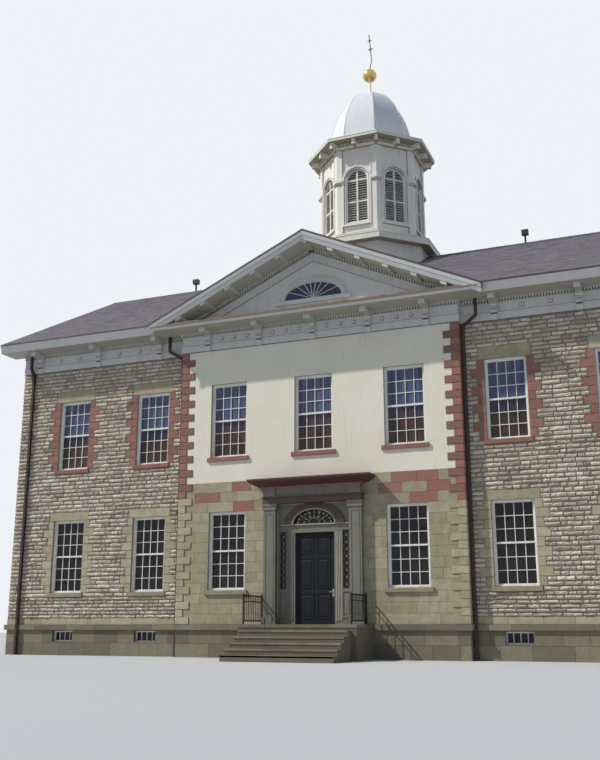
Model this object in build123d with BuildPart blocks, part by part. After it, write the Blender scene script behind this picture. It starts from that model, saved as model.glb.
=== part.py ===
"""A two-storey stone courthouse with a pedimented centre and an eight-sided domed cupola.

Lengths are millimetres. X runs along the front, Y into the building and Z up.
The origin is on the ground under the middle of the centre block's front face.
"""

import os
from math import cos, radians, sin, tan

from build123d import *

os.makedirs("parts", exist_ok=True)

# Plan of the building
CENTRE_WIDTH = 10000.0          # the projecting centre block, corner to corner
WING_WIDTH = 7225.0             # each wing, from the centre block to its end
WING_SETBACK = 300.0            # how far the wing walls stand behind the centre
BUILDING_DEPTH = 13300.0        # wing front face to rear face
WALL = 500.0                    # thickness of every storey wall

# Levels above the ground
FLOOR_LEVEL = 1050.0            # ground floor, door sill and landing
FLOOR_THICKNESS = 250.0
UPPER_FLOOR_LEVEL = 5550.0
CEILING_LEVEL = 10100.0
FRIEZE_FOOT = 10470.0           # underside of the entablature
CORNICE_SOFFIT = 11200.0        # underside of the projecting cornice
CENTRE_WALL_TOP = 11400.0       # where the gable of the pediment starts
CENTRE_CORNICE_EDGE = 11330.0   # outer top edge of the level cornice under the pediment

# Foundation and its projecting top course
FOUNDATION_WALL = 600.0
WATER_TABLE = 180.0             # height of the projecting course
WATER_TABLE_PROJECTION = 80.0
BASEMENT_WINDOW = (850.0, 365.0)
BASEMENT_WINDOW_SILL = 475.0

# Windows: width, sill level and head level
CENTRE_WINDOW_WIDTH = 1370.0
WING_WINDOW_WIDTH = 1320.0
LOWER_SILL = 2150.0
LOWER_HEAD = 4745.0
UPPER_SILL = 6620.0
UPPER_HEAD = 9230.0
CENTRE_WINDOW_X = 3153.0        # side windows of the centre block
WING_WINDOW_X = (6384.0, 9776.0)
REVEAL = 120.0                  # wall face to window frame
FRAME_DEPTH = 130.0
FRAME_WIDTH = 85.0
MEETING_RAIL = 55.0
GLASS = 8.0
END_WINDOW_PITCH = 3700.0       # three windows a storey in each end wall

# Stone dressings
SILL_HEIGHT = 140.0
SILL_OVERLAP = 100.0
SILL_PROJECTION = 70.0
LINTEL_HEIGHTS = (300.0, 400.0)  # lower and upper storey
LINTEL_OVERLAP = 180.0
LINTEL_PROJECTION = 15.0
QUOIN_LONG = 490.0
QUOIN_SHORT = 250.0
QUOIN_COURSE = 247.0
QUOIN_PROJECTION = 25.0

# Entablature, measured out from the wall face
ARCHITRAVE = (60.0, 270.0)      # projection, height
FRIEZE_PROJECTION = 35.0
FRIEZE_TOP = 11070.0
DENTIL_BAND = (90.0, 60.0)      # projection, clear space under the soffit
CROWN = 95.0                    # how far the crown moulding oversails the fascia
CENTRE_OVERHANG = 1000.0
WING_OVERHANG = 950.0
FASCIA = 75.0
PAST = 1.0                      # how far some cuts run past what they cut

# Brackets under the eaves
BRACKET_WIDTH = 205.0
BRACKET_REACH = 620.0
BRACKET_BLOCK = 150.0           # height of the block under the soffit
BRACKET_FEET = ((125.0, 220.0), (165.0, 200.0))  # reach and height, from the foot up
BRACKET_GROOVE = (35.0, 15.0)   # depth and height, above each foot block
CENTRE_BRACKET_PITCH = 1990.0
WING_BRACKET_FIRST = 6150.0
WING_BRACKET_PITCH = 2650.0

# Main roof
ROOF_THICKNESS = 60.0           # measured upright
EAVE_TOP = 11530.0
RIDGE_LEVEL = 15670.0
VERGE_OVERHANG = 530.0          # beyond the end walls
VERGE_BOARD = 260.0

# Pediment
PEDIMENT_HALF = 6000.0
PEDIMENT_EAVE = 11400.0
PEDIMENT_APEX = 14130.0
TYMPANUM = 300.0
RAKING_STEPS = ((130.0, 30.0), (60.0, 65.0), (95.0, 95.0))  # upright height, set back
RAKING_BED = (95.0, 150.0)      # projection, upright height
RAKING_BLOCK = (190.0, 620.0, 95.0)  # width, reach, upright height
RAKING_BLOCKS_EACH_SIDE = 5
RAKING_BLOCK_PITCH = 960.0
LUNETTE_SILL = 11960.0
LUNETTE = (1080.0, 610.0)       # half width and height of the opening
LUNETTE_TRIM = 150.0
LUNETTE_BARS = 8
BAR = 35.0
FAN_BAR = 24.0                  # bars that spread in the half-round windows

# Cupola: distances from its axis to a flat face, and levels
CUPOLA_SIDES = 8
BASE_APOTHEM = 2330.0
LEDGE_APOTHEM = 2670.0
LEDGE_LEVELS = (15750.0, 16030.0)
DRUM_APOTHEM = 2000.0
DRUM_WALL = 170.0
CUPOLA_PILASTER = 215.0         # width on each side of a corner
CUPOLA_PILASTER_PROJECTION = 55.0
CUPOLA_IMPOST = (18540.0, 18760.0)
CUPOLA_CAP_PROJECTION = 95.0
CUPOLA_IMPOST_ROLL = (60.0, 140.0)  # height above its foot and below its head, projection
CUPOLA_PLINTH = 330.0
LOUVRE_WIDTH = 960.0
LOUVRE_SILL = 16790.0
LOUVRE_SPRING = 18670.0
LOUVRE_TRIM = (125.0, 60.0)     # width, projection
LOUVRE_LEDGE = (80.0, 95.0)     # sill moulding: height, projection
LOUVRE_FRAME = 55.0
LOUVRE_DEPTH = 90.0
LOUVRE_TRANSOM = 17720.0
SLAT = (105.0, 16.0, 105.0)     # depth, thickness, pitch
SLAT_TILT = 38.0
CUPOLA_CORNICE_APOTHEM = 2520.0
CUPOLA_CORNICE_TOP = 20475.0
CUPOLA_CORNICE_FASCIA = 135.0
CUPOLA_BED = (110.0, 260.0)     # projection and height of the band under the soffit
CUPOLA_BRACKET = (130.0, 330.0, 240.0)  # width, reach, height
CORNER_BRACKET_INSET = 43.0     # corner brackets start this far inside the band's corner
DOME_APOTHEM = 1650.0
DOME_FOOT = 20700.0
DOME_HEIGHT = 2950.0

# Finial
SPIKE_RADII = (115.0, 62.0)
SPIKE_TAPER = 260.0             # height over which it narrows
BALL_LEVEL = 24600.0
BALL_RADIUS = 300.0
ROD_RADIUS = 22.0
ROD_TOP = 26650.0
ROD_BEND = 25350.0
ROD_LEAN = 110.0
ROD_CURVE = 900.0

# Entrance
DOORCASE_WIDTH = 2500.0         # opening in the stonework
DOORCASE_TOP = 4860.0
DOOR_WIDTH = 1400.0
DOOR_HEIGHT = 2930.0
DOOR_THICKNESS = 55.0
DOOR_FACE = 150.0               # wall face to the outside of the leaf
DOOR_CLEARANCE = 10.0
DOOR_STOP = 22.0                # overlap of the frame over the leaf
CASE_FACE = 50.0
CASE_DEPTH = 155.0
SIDELIGHT = (980.0, 1200.0)     # inner and outer edge from the middle
SIDELIGHT_LEVELS = (2160.0, 3990.0)
TRANSOM_TOP = 4240.0
FANLIGHT = (730.0, 460.0)       # half width, height
ARCH_BAND = (150.0, 70.0)       # width, projection
TRANSOM_STRIP = (50.0, 45.0)    # moulding over door and sidelights: height, projection
FAN_BARS = 5
FAN_HUB = 197.0                 # radius of the ring in the middle
HINGE_RADIUS = 9.0
HINGE_HEIGHT = 130.0
HINGE_LEVELS = (0.12, 0.5, 0.88)
HINGE_GAP = 0.4
FLAP = 4.0                      # thickness of a hinge's flap on the leaf
FLAP_REACH = 60.0
HANDLE_LEVEL = 980.0            # above the door sill
HANDLE_BACKSET = 95.0
HANDLE_PLATE = (52.0, 230.0, 12.0, 7.0)  # width, height, corner radius, thickness
HANDLE_SPINDLE = (11.0, 52.0, 30.0)  # radius, length, height above the plate's middle
HANDLE_LEVER = (135.0, 20.0, 16.0, 10.0)  # length, height, thickness, reach past the spindle
PILASTER = (420.0, 210.0)       # width, projection
PILASTER_X = 1490.0
PILASTER_TOP = 4900.0
PILASTER_CAP = (190.0, 30.0)    # height, projection
PILASTER_ABACUS = (65.0, 55.0)
PILASTER_BASE = (230.0, 40.0)
CANOPY_REACH = 640.0
CANOPY_TOP = 5720.0
CANOPY_SOFFIT = 5480.0
CANOPY_FALL = 20.0              # the top slopes down to its edge
CANOPY_EDGE = 50.0
CANOPY_COVE = (240.0, 110.0)    # run and rise of the hollow under the edge
CANOPY_BED = 80.0
DOOR_ARCHITRAVE = (250.0, 30.0)  # height, projection
DOOR_ARCHITRAVE_FILLET = (50.0, 60.0)
CANOPY_BLOCK = 55.0             # projection of the end blocks of the frieze

# Landing, steps and railings
LANDING_HALF = 1950.0
LANDING_DEPTH = 1550.0
STEP_TREAD = 300.0
STEP_COUNT = 6                  # rises from the ground to the landing
RAIL_X = 1780.0
RAIL_HEIGHT = 900.0
RAIL_BAR = 40.0
BALUSTER = 18.0
BALUSTER_PITCH = 125.0
RAIL_FOOT = 90.0                # lower rail above the landing

# Rainwater pipes and roof lamps
PIPE = 95.0                     # square section
PIPE_GAP = 45.0
PIPE_HEAD = 11190.0
PIPE_KNEE = 10650.0
PIPE_DROP = 280.0               # fall of the slanting stretch
PIPE_OFFSET = (480.0, 200.0)    # upper stretch: to the side beside the centre block, and forward
PIPE_BEND = 110.0
LAMP_PLACES = (-8440.0, 6310.0)  # along the ridge
LAMP_POST = (40.0, 330.0)
LAMP_HEAD = (260.0, 200.0, 210.0)
LEDGE_LAMP = (430.0, 260.0, 240.0)

# Worked out from the sizes above
CENTRE_HALF = CENTRE_WIDTH / 2
BUILDING_HALF = CENTRE_HALF + WING_WIDTH
REAR_FACE = WING_SETBACK + BUILDING_DEPTH
RIDGE_Y = WING_SETBACK + BUILDING_DEPTH / 2
EAVE_Y = WING_SETBACK - WING_OVERHANG
ROOF_RISE = (RIDGE_LEVEL - EAVE_TOP) / (RIDGE_Y - EAVE_Y)
PEDIMENT_RISE = (PEDIMENT_APEX - PEDIMENT_EAVE) / PEDIMENT_HALF
ROOF_HALF = BUILDING_HALF + VERGE_OVERHANG
RAKING_FASCIA = sum(height for height, back in RAKING_STEPS)
FACE_WIDTH = 2 * DRUM_APOTHEM * tan(radians(180 / CUPOLA_SIDES))
DOOR_HEAD = FLOOR_LEVEL + DOOR_HEIGHT
BASEMENT_WINDOW_MIDDLE = BASEMENT_WINDOW_SILL + BASEMENT_WINDOW[1] / 2


def roof_top(y):
    """Level of the main roof's surface at a distance into the building."""
    return RIDGE_LEVEL - ROOF_RISE * abs(y - RIDGE_Y)


def roof_under(y):
    """Level of the main roof's underside."""
    return roof_top(y) - ROOF_THICKNESS


def wall_plane(x, y, outward):
    """A wall face as a drawing plane: x along the wall, y up, z outward."""
    along = {(0, -1): (1, 0, 0), (0, 1): (-1, 0, 0), (-1, 0): (0, -1, 0), (1, 0): (0, 1, 0)}
    return Plane(origin=(x, y, 0), x_dir=along[outward], z_dir=(*outward, 0))


CENTRE_PLANE = wall_plane(0, 0, (0, -1))
WING_PLANE = wall_plane(0, WING_SETBACK, (0, -1))
REAR_PLANE = wall_plane(0, REAR_FACE, (0, 1))
LEFT_PLANE = wall_plane(-BUILDING_HALF, RIDGE_Y, (-1, 0))
RIGHT_PLANE = wall_plane(BUILDING_HALF, RIDGE_Y, (1, 0))


def block(xs, ys, zs, mode=Mode.ADD):
    """A plain block between three pairs of coordinates."""
    with BuildSketch(Plane.XY.offset(min(zs))) as outline:
        with Locations(((xs[0] + xs[1]) / 2, (ys[0] + ys[1]) / 2)):
            Rectangle(abs(xs[1] - xs[0]), abs(ys[1] - ys[0]))
    extrude(outline.sketch, amount=abs(zs[1] - zs[0]), mode=mode)


def wall_block(plane, xs, zs, depths, mode=Mode.ADD):
    """A block drawn on a wall face, between two distances out from it."""
    with BuildSketch(plane.offset(depths[0])) as outline:
        with Locations(((xs[0] + xs[1]) / 2, (zs[0] + zs[1]) / 2)):
            Rectangle(xs[1] - xs[0], zs[1] - zs[0])
    extrude(outline.sketch, amount=depths[1] - depths[0], mode=mode)


def prism(plane, points, length, mode=Mode.ADD):
    """A straight-sided outline on a plane, pulled out along its normal."""
    with BuildSketch(plane) as outline:
        with BuildLine():
            Polyline(*points, close=True)
        make_face()
    extrude(outline.sketch, amount=length, mode=mode)


def finish(part, name):
    """Label one finished piece and write it."""
    part.label = name
    export_step(part, f"parts/{name}.step")


# Window places on each wall face: middles along the wall, and the width
def mirrored(places):
    """The same places on both sides of the middle."""
    return [-x for x in reversed(places)] + list(places)


STOREYS = ((LOWER_SILL, LOWER_HEAD), (UPPER_SILL, UPPER_HEAD))
CENTRE_SIDE_PLACES = [-CENTRE_WINDOW_X, CENTRE_WINDOW_X]
BASEMENT_PLACES = mirrored(WING_WINDOW_X)
REAR_PLACES = mirrored((CENTRE_WINDOW_X, *WING_WINDOW_X)) + [0.0]
END_PLACES = [-END_WINDOW_PITCH, 0.0, END_WINDOW_PITCH]


def rows(plane, width, lower, upper):
    """One row of equal windows for each storey of a wall face."""
    return [
        (plane, width, places, sill, head)
        for places, (sill, head) in zip((lower, upper), STOREYS)
    ]


CENTRE_ROWS = rows(
    CENTRE_PLANE, CENTRE_WINDOW_WIDTH, CENTRE_SIDE_PLACES, CENTRE_SIDE_PLACES + [0.0]
)
WING_ROWS = rows(WING_PLANE, WING_WINDOW_WIDTH, BASEMENT_PLACES, BASEMENT_PLACES)
REAR_ROWS = rows(REAR_PLANE, WING_WINDOW_WIDTH, REAR_PLACES, REAR_PLACES)
LEFT_ROWS = rows(LEFT_PLANE, WING_WINDOW_WIDTH, END_PLACES, END_PLACES)
RIGHT_ROWS = rows(RIGHT_PLANE, WING_WINDOW_WIDTH, END_PLACES, END_PLACES)
STONE_WALL_ROWS = WING_ROWS + REAR_ROWS + LEFT_ROWS + RIGHT_ROWS
ALL_ROWS = CENTRE_ROWS + STONE_WALL_ROWS


def row_blocks(plane, places, size, middle, depths, mode=Mode.ADD):
    """Equal blocks along one row of a wall face, between two distances out from it."""
    with BuildSketch(plane.offset(depths[0])) as outline:
        with Locations(*[(x, middle) for x in places]):
            Rectangle(*size)
    extrude(outline.sketch, amount=depths[1] - depths[0], mode=mode)


def window_holes(wall_rows):
    """Cut the windows of these rows through the wall behind their wall face."""
    for plane, width, places, sill, head in wall_rows:
        row_blocks(
            plane, places, (width, head - sill), (sill + head) / 2, (-2 * WALL, 0), mode=Mode.SUBTRACT
        )


# Foundation: a closed ring with a projecting course along its top
def foundation_outline(grow):
    """Outer outline of the walls, with the centre block stepping forward."""
    return [
        (-BUILDING_HALF - grow, REAR_FACE + grow),
        (-BUILDING_HALF - grow, WING_SETBACK - grow),
        (-CENTRE_HALF - grow, WING_SETBACK - grow),
        (-CENTRE_HALF - grow, -grow),
        (CENTRE_HALF + grow, -grow),
        (CENTRE_HALF + grow, WING_SETBACK - grow),
        (BUILDING_HALF + grow, WING_SETBACK - grow),
        (BUILDING_HALF + grow, REAR_FACE + grow),
    ]


with BuildPart() as foundation:
    prism(Plane.XY, foundation_outline(0), FLOOR_LEVEL)
    prism(
        Plane.XY.offset(FLOOR_LEVEL - WATER_TABLE),
        foundation_outline(WATER_TABLE_PROJECTION),
        WATER_TABLE,
    )
    block(
        (-BUILDING_HALF + FOUNDATION_WALL, BUILDING_HALF - FOUNDATION_WALL),
        (WING_SETBACK + FOUNDATION_WALL, REAR_FACE - FOUNDATION_WALL),
        (0, FLOOR_LEVEL),
        mode=Mode.SUBTRACT,
    )
    for face in (WING_PLANE, REAR_PLANE):
        row_blocks(
            face,
            BASEMENT_PLACES,
            BASEMENT_WINDOW,
            BASEMENT_WINDOW_MIDDLE,
            (-FOUNDATION_WALL, 0),
            mode=Mode.SUBTRACT,
        )
finish(foundation.part, "foundation")

# Floors
INNER_HALF = BUILDING_HALF - WALL
with BuildPart() as ground_floor:
    block(
        (-BUILDING_HALF + FOUNDATION_WALL, BUILDING_HALF - FOUNDATION_WALL),
        (WING_SETBACK + FOUNDATION_WALL, REAR_FACE - FOUNDATION_WALL),
        (FLOOR_LEVEL - FLOOR_THICKNESS, FLOOR_LEVEL),
    )
finish(ground_floor.part, "ground_floor")

for name, level in (("upper_floor", UPPER_FLOOR_LEVEL), ("attic_floor", CEILING_LEVEL)):
    with BuildPart() as floor:
        block(
            (-INNER_HALF, INNER_HALF),
            (WING_SETBACK + WALL, REAR_FACE - WALL),
            (level - FLOOR_THICKNESS, level),
        )
    finish(floor.part, name)

# Walls of the centre block, split beside and over the doorway
with BuildPart() as pavilion_wall_left:
    wall_block(
        CENTRE_PLANE, (-CENTRE_HALF, -DOORCASE_WIDTH / 2), (FLOOR_LEVEL, DOORCASE_TOP), (-WALL, 0)
    )
    window_holes(CENTRE_ROWS)
finish(pavilion_wall_left.part, "pavilion_wall_left")

with BuildPart() as pavilion_wall_right:
    wall_block(
        CENTRE_PLANE, (DOORCASE_WIDTH / 2, CENTRE_HALF), (FLOOR_LEVEL, DOORCASE_TOP), (-WALL, 0)
    )
    window_holes(CENTRE_ROWS)
finish(pavilion_wall_right.part, "pavilion_wall_right")

with BuildPart() as pavilion_wall_upper:
    wall_block(
        CENTRE_PLANE, (-CENTRE_HALF, CENTRE_HALF), (DOORCASE_TOP, CENTRE_WALL_TOP), (-WALL, 0)
    )
    window_holes(CENTRE_ROWS)
finish(pavilion_wall_upper.part, "pavilion_wall_upper")

# Wing walls rise to the slope of the roof
for name, xs in (
    ("left_wing_wall", (-BUILDING_HALF, -CENTRE_HALF)),
    ("right_wing_wall", (CENTRE_HALF, BUILDING_HALF)),
):
    with BuildPart() as wing_wall:
        front, back = WING_SETBACK, WING_SETBACK + WALL
        prism(
            Plane(origin=(xs[0], 0, 0), x_dir=(0, 1, 0), z_dir=(1, 0, 0)),
            [(front, FLOOR_LEVEL), (back, FLOOR_LEVEL), (back, roof_under(back)), (front, roof_under(front))],
            xs[1] - xs[0],
        )
        window_holes(WING_ROWS)
    finish(wing_wall.part, name)

with BuildPart() as rear_wall:
    front, back = REAR_FACE - WALL, REAR_FACE
    prism(
        Plane(origin=(-BUILDING_HALF, 0, 0), x_dir=(0, 1, 0), z_dir=(1, 0, 0)),
        [(front, FLOOR_LEVEL), (back, FLOOR_LEVEL), (back, roof_under(back)), (front, roof_under(front))],
        2 * BUILDING_HALF,
    )
    window_holes(REAR_ROWS)
finish(rear_wall.part, "rear_wall")

# End walls run up into the gables
for name, x, end_rows in (
    ("left_end_wall", -BUILDING_HALF, LEFT_ROWS),
    ("right_end_wall", BUILDING_HALF - WALL, RIGHT_ROWS),
):
    with BuildPart() as end_wall:
        front, back = WING_SETBACK + WALL, REAR_FACE - WALL
        prism(
            Plane(origin=(x, 0, 0), x_dir=(0, 1, 0), z_dir=(1, 0, 0)),
            [
                (front, FLOOR_LEVEL),
                (back, FLOOR_LEVEL),
                (back, roof_under(back)),
                (RIDGE_Y, roof_under(RIDGE_Y)),
                (front, roof_under(front)),
            ],
            WALL,
        )
        window_holes(end_rows)
    finish(end_wall.part, name)

# Corner stones of the centre block, long and short in turn
def quoin_outline(side, low, high):
    """Front outline of one toothed column of corner stones."""
    count = round((high - low) / QUOIN_COURSE)
    course = (high - low) / count
    outer = side * (CENTRE_HALF + QUOIN_PROJECTION)
    points = [(outer, high), (outer, low)]
    for step in range(count):
        inner = side * (CENTRE_HALF - (QUOIN_SHORT if step % 2 else QUOIN_LONG))
        points += [(inner, low + step * course), (inner, low + (step + 1) * course)]
    return points


with BuildPart() as corner_quoins:
    for side in (-1, 1):
        prism(CENTRE_PLANE, quoin_outline(side, FLOOR_LEVEL, FRIEZE_FOOT), QUOIN_PROJECTION)
        block(
            (side * CENTRE_HALF, side * (CENTRE_HALF + QUOIN_PROJECTION)),
            (-QUOIN_PROJECTION, WING_SETBACK),
            (FLOOR_LEVEL, FRIEZE_FOOT),
        )
finish(corner_quoins.part, "corner_quoins")

# Sills and lintels
with BuildPart() as window_sills:
    for plane, width, places, sill, head in ALL_ROWS:
        size = (width + 2 * SILL_OVERLAP, SILL_HEIGHT)
        row_blocks(plane, places, size, sill - SILL_HEIGHT / 2, (0, SILL_PROJECTION))
finish(window_sills.part, "window_sills")

with BuildPart() as window_lintels:
    for plane, width, places, sill, head in STONE_WALL_ROWS:
        height = LINTEL_HEIGHTS[0] if sill == LOWER_SILL else LINTEL_HEIGHTS[1]
        size = (width + 2 * LINTEL_OVERLAP, height)
        row_blocks(plane, places, size, head + height / 2, (0, LINTEL_PROJECTION))
finish(window_lintels.part, "window_lintels")


def pane_places(places, sill, head):
    """Middles of both sashes' glass in a row, and the height of one."""
    height = (head - sill - MEETING_RAIL) / 2 - FRAME_WIDTH
    shift = (height + MEETING_RAIL) / 2
    middle = (sill + head) / 2
    return [(x, middle + side * shift) for x in places for side in (-1, 1)], height


# Window frames, each with a meeting rail, and their glass
BASEMENT_PANE = (BASEMENT_WINDOW[0] - FRAME_WIDTH, BASEMENT_WINDOW[1] - FRAME_WIDTH)
BASEMENT_MIDDLES = [(x, BASEMENT_WINDOW_MIDDLE) for x in BASEMENT_PLACES]
with BuildPart() as window_frames:
    for plane, width, places, sill, head in ALL_ROWS:
        panes, pane_height = pane_places(places, sill, head)
        with BuildSketch(plane.offset(-REVEAL)) as frames:
            with Locations(*[(x, (sill + head) / 2) for x in places]):
                Rectangle(width, head - sill)
            with Locations(*panes):
                Rectangle(width - 2 * FRAME_WIDTH, pane_height, mode=Mode.SUBTRACT)
        extrude(frames.sketch, amount=-FRAME_DEPTH)
    for plane in (WING_PLANE, REAR_PLANE):
        with BuildSketch(plane.offset(-REVEAL)) as basement_frames:
            with Locations(*BASEMENT_MIDDLES):
                Rectangle(*BASEMENT_WINDOW)
                Rectangle(*BASEMENT_PANE, mode=Mode.SUBTRACT)
        extrude(basement_frames.sketch, amount=-FRAME_DEPTH)
finish(window_frames.part, "window_frames")

with BuildPart() as window_glass:
    for plane, width, places, sill, head in ALL_ROWS:
        panes, pane_height = pane_places(places, sill, head)
        with BuildSketch(plane.offset(-REVEAL - FRAME_DEPTH / 2)) as glazing:
            with Locations(*panes):
                Rectangle(width - 2 * FRAME_WIDTH, pane_height)
        extrude(glazing.sketch, amount=-GLASS)
    for plane in (WING_PLANE, REAR_PLANE):
        with BuildSketch(plane.offset(-REVEAL - FRAME_DEPTH / 2)) as basement_panes:
            with Locations(*BASEMENT_MIDDLES):
                Rectangle(*BASEMENT_PANE)
        extrude(basement_panes.sketch, amount=-GLASS)
    with BuildSketch(CENTRE_PLANE.offset(-BAR)) as lunette_pane:
        with BuildLine():
            Line((-LUNETTE[0], LUNETTE_SILL), (LUNETTE[0], LUNETTE_SILL))
            EllipticalCenterArc((0, LUNETTE_SILL), *LUNETTE, start_angle=0, arc_size=180)
        make_face()
    extrude(lunette_pane.sketch, amount=-GLASS)
finish(window_glass.part, "window_glass")


def arched_outline(half_width, foot, spring, rise):
    """Outline of an opening with upright sides under a half-ellipse."""
    with BuildLine() as edge:
        Polyline((-half_width, spring), (-half_width, foot), (half_width, foot), (half_width, spring))
        EllipticalCenterArc((0, spring), half_width, rise, start_angle=0, arc_size=180)
    return edge.edges()


# Entablature: one section, drawn outward from the wall
def entablature_section(overhang, crest):
    """Points of the moulded section; crest gives the top from front to wall."""
    fascia_face = overhang - CROWN
    crown_foot = CORNICE_SOFFIT + FASCIA
    return [
        (0, FRIEZE_FOOT),
        (ARCHITRAVE[0], FRIEZE_FOOT),
        (ARCHITRAVE[0], FRIEZE_FOOT + ARCHITRAVE[1]),
        (FRIEZE_PROJECTION, FRIEZE_FOOT + ARCHITRAVE[1]),
        (FRIEZE_PROJECTION, FRIEZE_TOP),
        (DENTIL_BAND[0], FRIEZE_TOP),
        (DENTIL_BAND[0], CORNICE_SOFFIT - DENTIL_BAND[1]),
        (DENTIL_BAND[0] + DENTIL_BAND[1], CORNICE_SOFFIT),
        (fascia_face, CORNICE_SOFFIT),
        (fascia_face, crown_foot),
        (overhang, crest[0]),
        (0, crest[1]),
    ]


with BuildPart() as pavilion_entablature:
    with BuildLine() as corner_path:
        Polyline(
            (-CENTRE_HALF, WING_SETBACK, 0),
            (-CENTRE_HALF, 0, 0),
            (CENTRE_HALF, 0, 0),
            (CENTRE_HALF, WING_SETBACK, 0),
        )
    section_plane = Plane(origin=corner_path.line @ 0, x_dir=(-1, 0, 0), z_dir=(0, 1, 0))
    with BuildSketch(section_plane) as section:
        with BuildLine():
            crest = (CENTRE_CORNICE_EDGE, CENTRE_WALL_TOP)
            Polyline(*entablature_section(CENTRE_OVERHANG, crest), close=True)
        make_face()
    sweep(section.sketch, path=corner_path.line, transition=Transition.RIGHT)
finish(pavilion_entablature.part, "pavilion_entablature")

with BuildPart() as eave_entablatures:
    front_crest = (roof_under(EAVE_Y), roof_under(WING_SETBACK))
    for x in (-ROOF_HALF, CENTRE_HALF):
        start, end = (x, -CENTRE_HALF) if x < 0 else (x, ROOF_HALF)
        plane = Plane(origin=(start, WING_SETBACK, 0), x_dir=(0, -1, 0), z_dir=(-1, 0, 0))
        prism(plane, entablature_section(WING_OVERHANG, front_crest), -(end - start))
    plane = Plane(origin=(-ROOF_HALF, REAR_FACE, 0), x_dir=(0, 1, 0), z_dir=(1, 0, 0))
    prism(plane, entablature_section(WING_OVERHANG, front_crest), 2 * ROOF_HALF)
    add(pavilion_entablature.part, mode=Mode.SUBTRACT)
    for side in (-1, 1):
        block(
            (side * BUILDING_HALF, side * (ROOF_HALF + PAST)),
            (EAVE_Y - PAST, 2 * RIDGE_Y - EAVE_Y + PAST),
            (FRIEZE_FOOT - PAST, CORNICE_SOFFIT),
            mode=Mode.SUBTRACT,
        )
finish(eave_entablatures.part, "eave_entablatures")


# Brackets under the eaves: two foot blocks, a hollow neck and a block under the soffit
def bracket_side():
    """Side view of a bracket: distance out from the wall, level."""
    points = [(0, CORNICE_SOFFIT), (0, FRIEZE_FOOT)]
    level = FRIEZE_FOOT
    for reach, height in BRACKET_FEET:
        groove = reach - BRACKET_GROOVE[0]
        points += [(reach, level), (reach, level + height), (groove, level + height)]
        level += height + BRACKET_GROOVE[1]
        points.append((groove, level))
    neck = (BRACKET_FEET[-1][0], level)
    under_block = CORNICE_SOFFIT - BRACKET_BLOCK
    with BuildLine() as side:
        Polyline(*points, neck)
        TangentArc(neck, (neck[0] + under_block - level, under_block), tangent=(0, 1))
        Polyline(
            (neck[0] + under_block - level, under_block),
            (BRACKET_REACH, under_block),
            (BRACKET_REACH, CORNICE_SOFFIT),
            points[0],
        )
    make_face(side.edges())


def brackets(plane, places):
    """A row of brackets on one wall face."""
    for x in places:
        middle = plane.from_local_coords((x, 0, 0))
        side_plane = Plane(origin=middle, x_dir=plane.z_dir, z_dir=-plane.x_dir)
        with BuildSketch(side_plane.offset(-BRACKET_WIDTH / 2)) as side_view:
            bracket_side()
        extrude(side_view.sketch, amount=BRACKET_WIDTH)


CENTRE_BRACKETS = [CENTRE_BRACKET_PITCH * step for step in range(-2, 3)]
WING_BRACKETS = mirrored([WING_BRACKET_FIRST + WING_BRACKET_PITCH * step for step in range(3)])
with BuildPart() as eave_brackets:
    brackets(CENTRE_PLANE, CENTRE_BRACKETS)
    brackets(WING_PLANE, WING_BRACKETS)
    brackets(REAR_PLANE, CENTRE_BRACKETS + WING_BRACKETS)
    add(pavilion_entablature.part, mode=Mode.SUBTRACT)
    add(eave_entablatures.part, mode=Mode.SUBTRACT)
finish(eave_brackets.part, "eave_brackets")


# Pediment
def gable(apex, half=PEDIMENT_HALF, drop=0.0):
    """Triangle under the pediment's slopes, cut off level at its foot."""
    foot = apex - PEDIMENT_RISE * half
    return [(-half, foot - drop), (half, foot - drop), (half, foot), (0, apex), (-half, foot)]


PEDIMENT_UNDER = PEDIMENT_APEX - ROOF_THICKNESS
RAKING_SOFFIT = PEDIMENT_UNDER - RAKING_FASCIA
TYMPANUM_HALF = CENTRE_HALF


def pediment_slope(apex, x):
    """Level of a sloping line of the pediment at a distance from the middle."""
    return apex - PEDIMENT_RISE * abs(x)


def chevron(plane, apex, thickness, half, length, mode=Mode.ADD):
    """A band of even upright thickness that follows both slopes."""
    low = pediment_slope(apex, half)
    points = [
        (-half, low),
        (0, apex),
        (half, low),
        (half, low - thickness),
        (0, apex - thickness),
        (-half, low - thickness),
    ]
    prism(plane, points, length, mode=mode)


def below_cornice_edge():
    """Cut away what would hang below the outer edge of the level cornice."""
    block(
        (-ROOF_HALF, ROOF_HALF),
        (-2 * CENTRE_OVERHANG, RIDGE_Y),
        (FRIEZE_FOOT, CENTRE_CORNICE_EDGE),
        mode=Mode.SUBTRACT,
    )


with BuildPart() as tympanum:
    shoulder = pediment_slope(PEDIMENT_UNDER, TYMPANUM_HALF)
    prism(
        CENTRE_PLANE.offset(-TYMPANUM),
        [
            (-TYMPANUM_HALF, CENTRE_WALL_TOP),
            (TYMPANUM_HALF, CENTRE_WALL_TOP),
            (TYMPANUM_HALF, shoulder),
            (0, PEDIMENT_UNDER),
            (-TYMPANUM_HALF, shoulder),
        ],
        TYMPANUM,
    )
    with BuildSketch(CENTRE_PLANE) as lunette_hole:
        with BuildLine():
            Line((-LUNETTE[0], LUNETTE_SILL), (LUNETTE[0], LUNETTE_SILL))
            EllipticalCenterArc((0, LUNETTE_SILL), *LUNETTE, start_angle=0, arc_size=180)
        make_face()
    extrude(lunette_hole.sketch, amount=-TYMPANUM, mode=Mode.SUBTRACT)
finish(tympanum.part, "tympanum")

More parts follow.
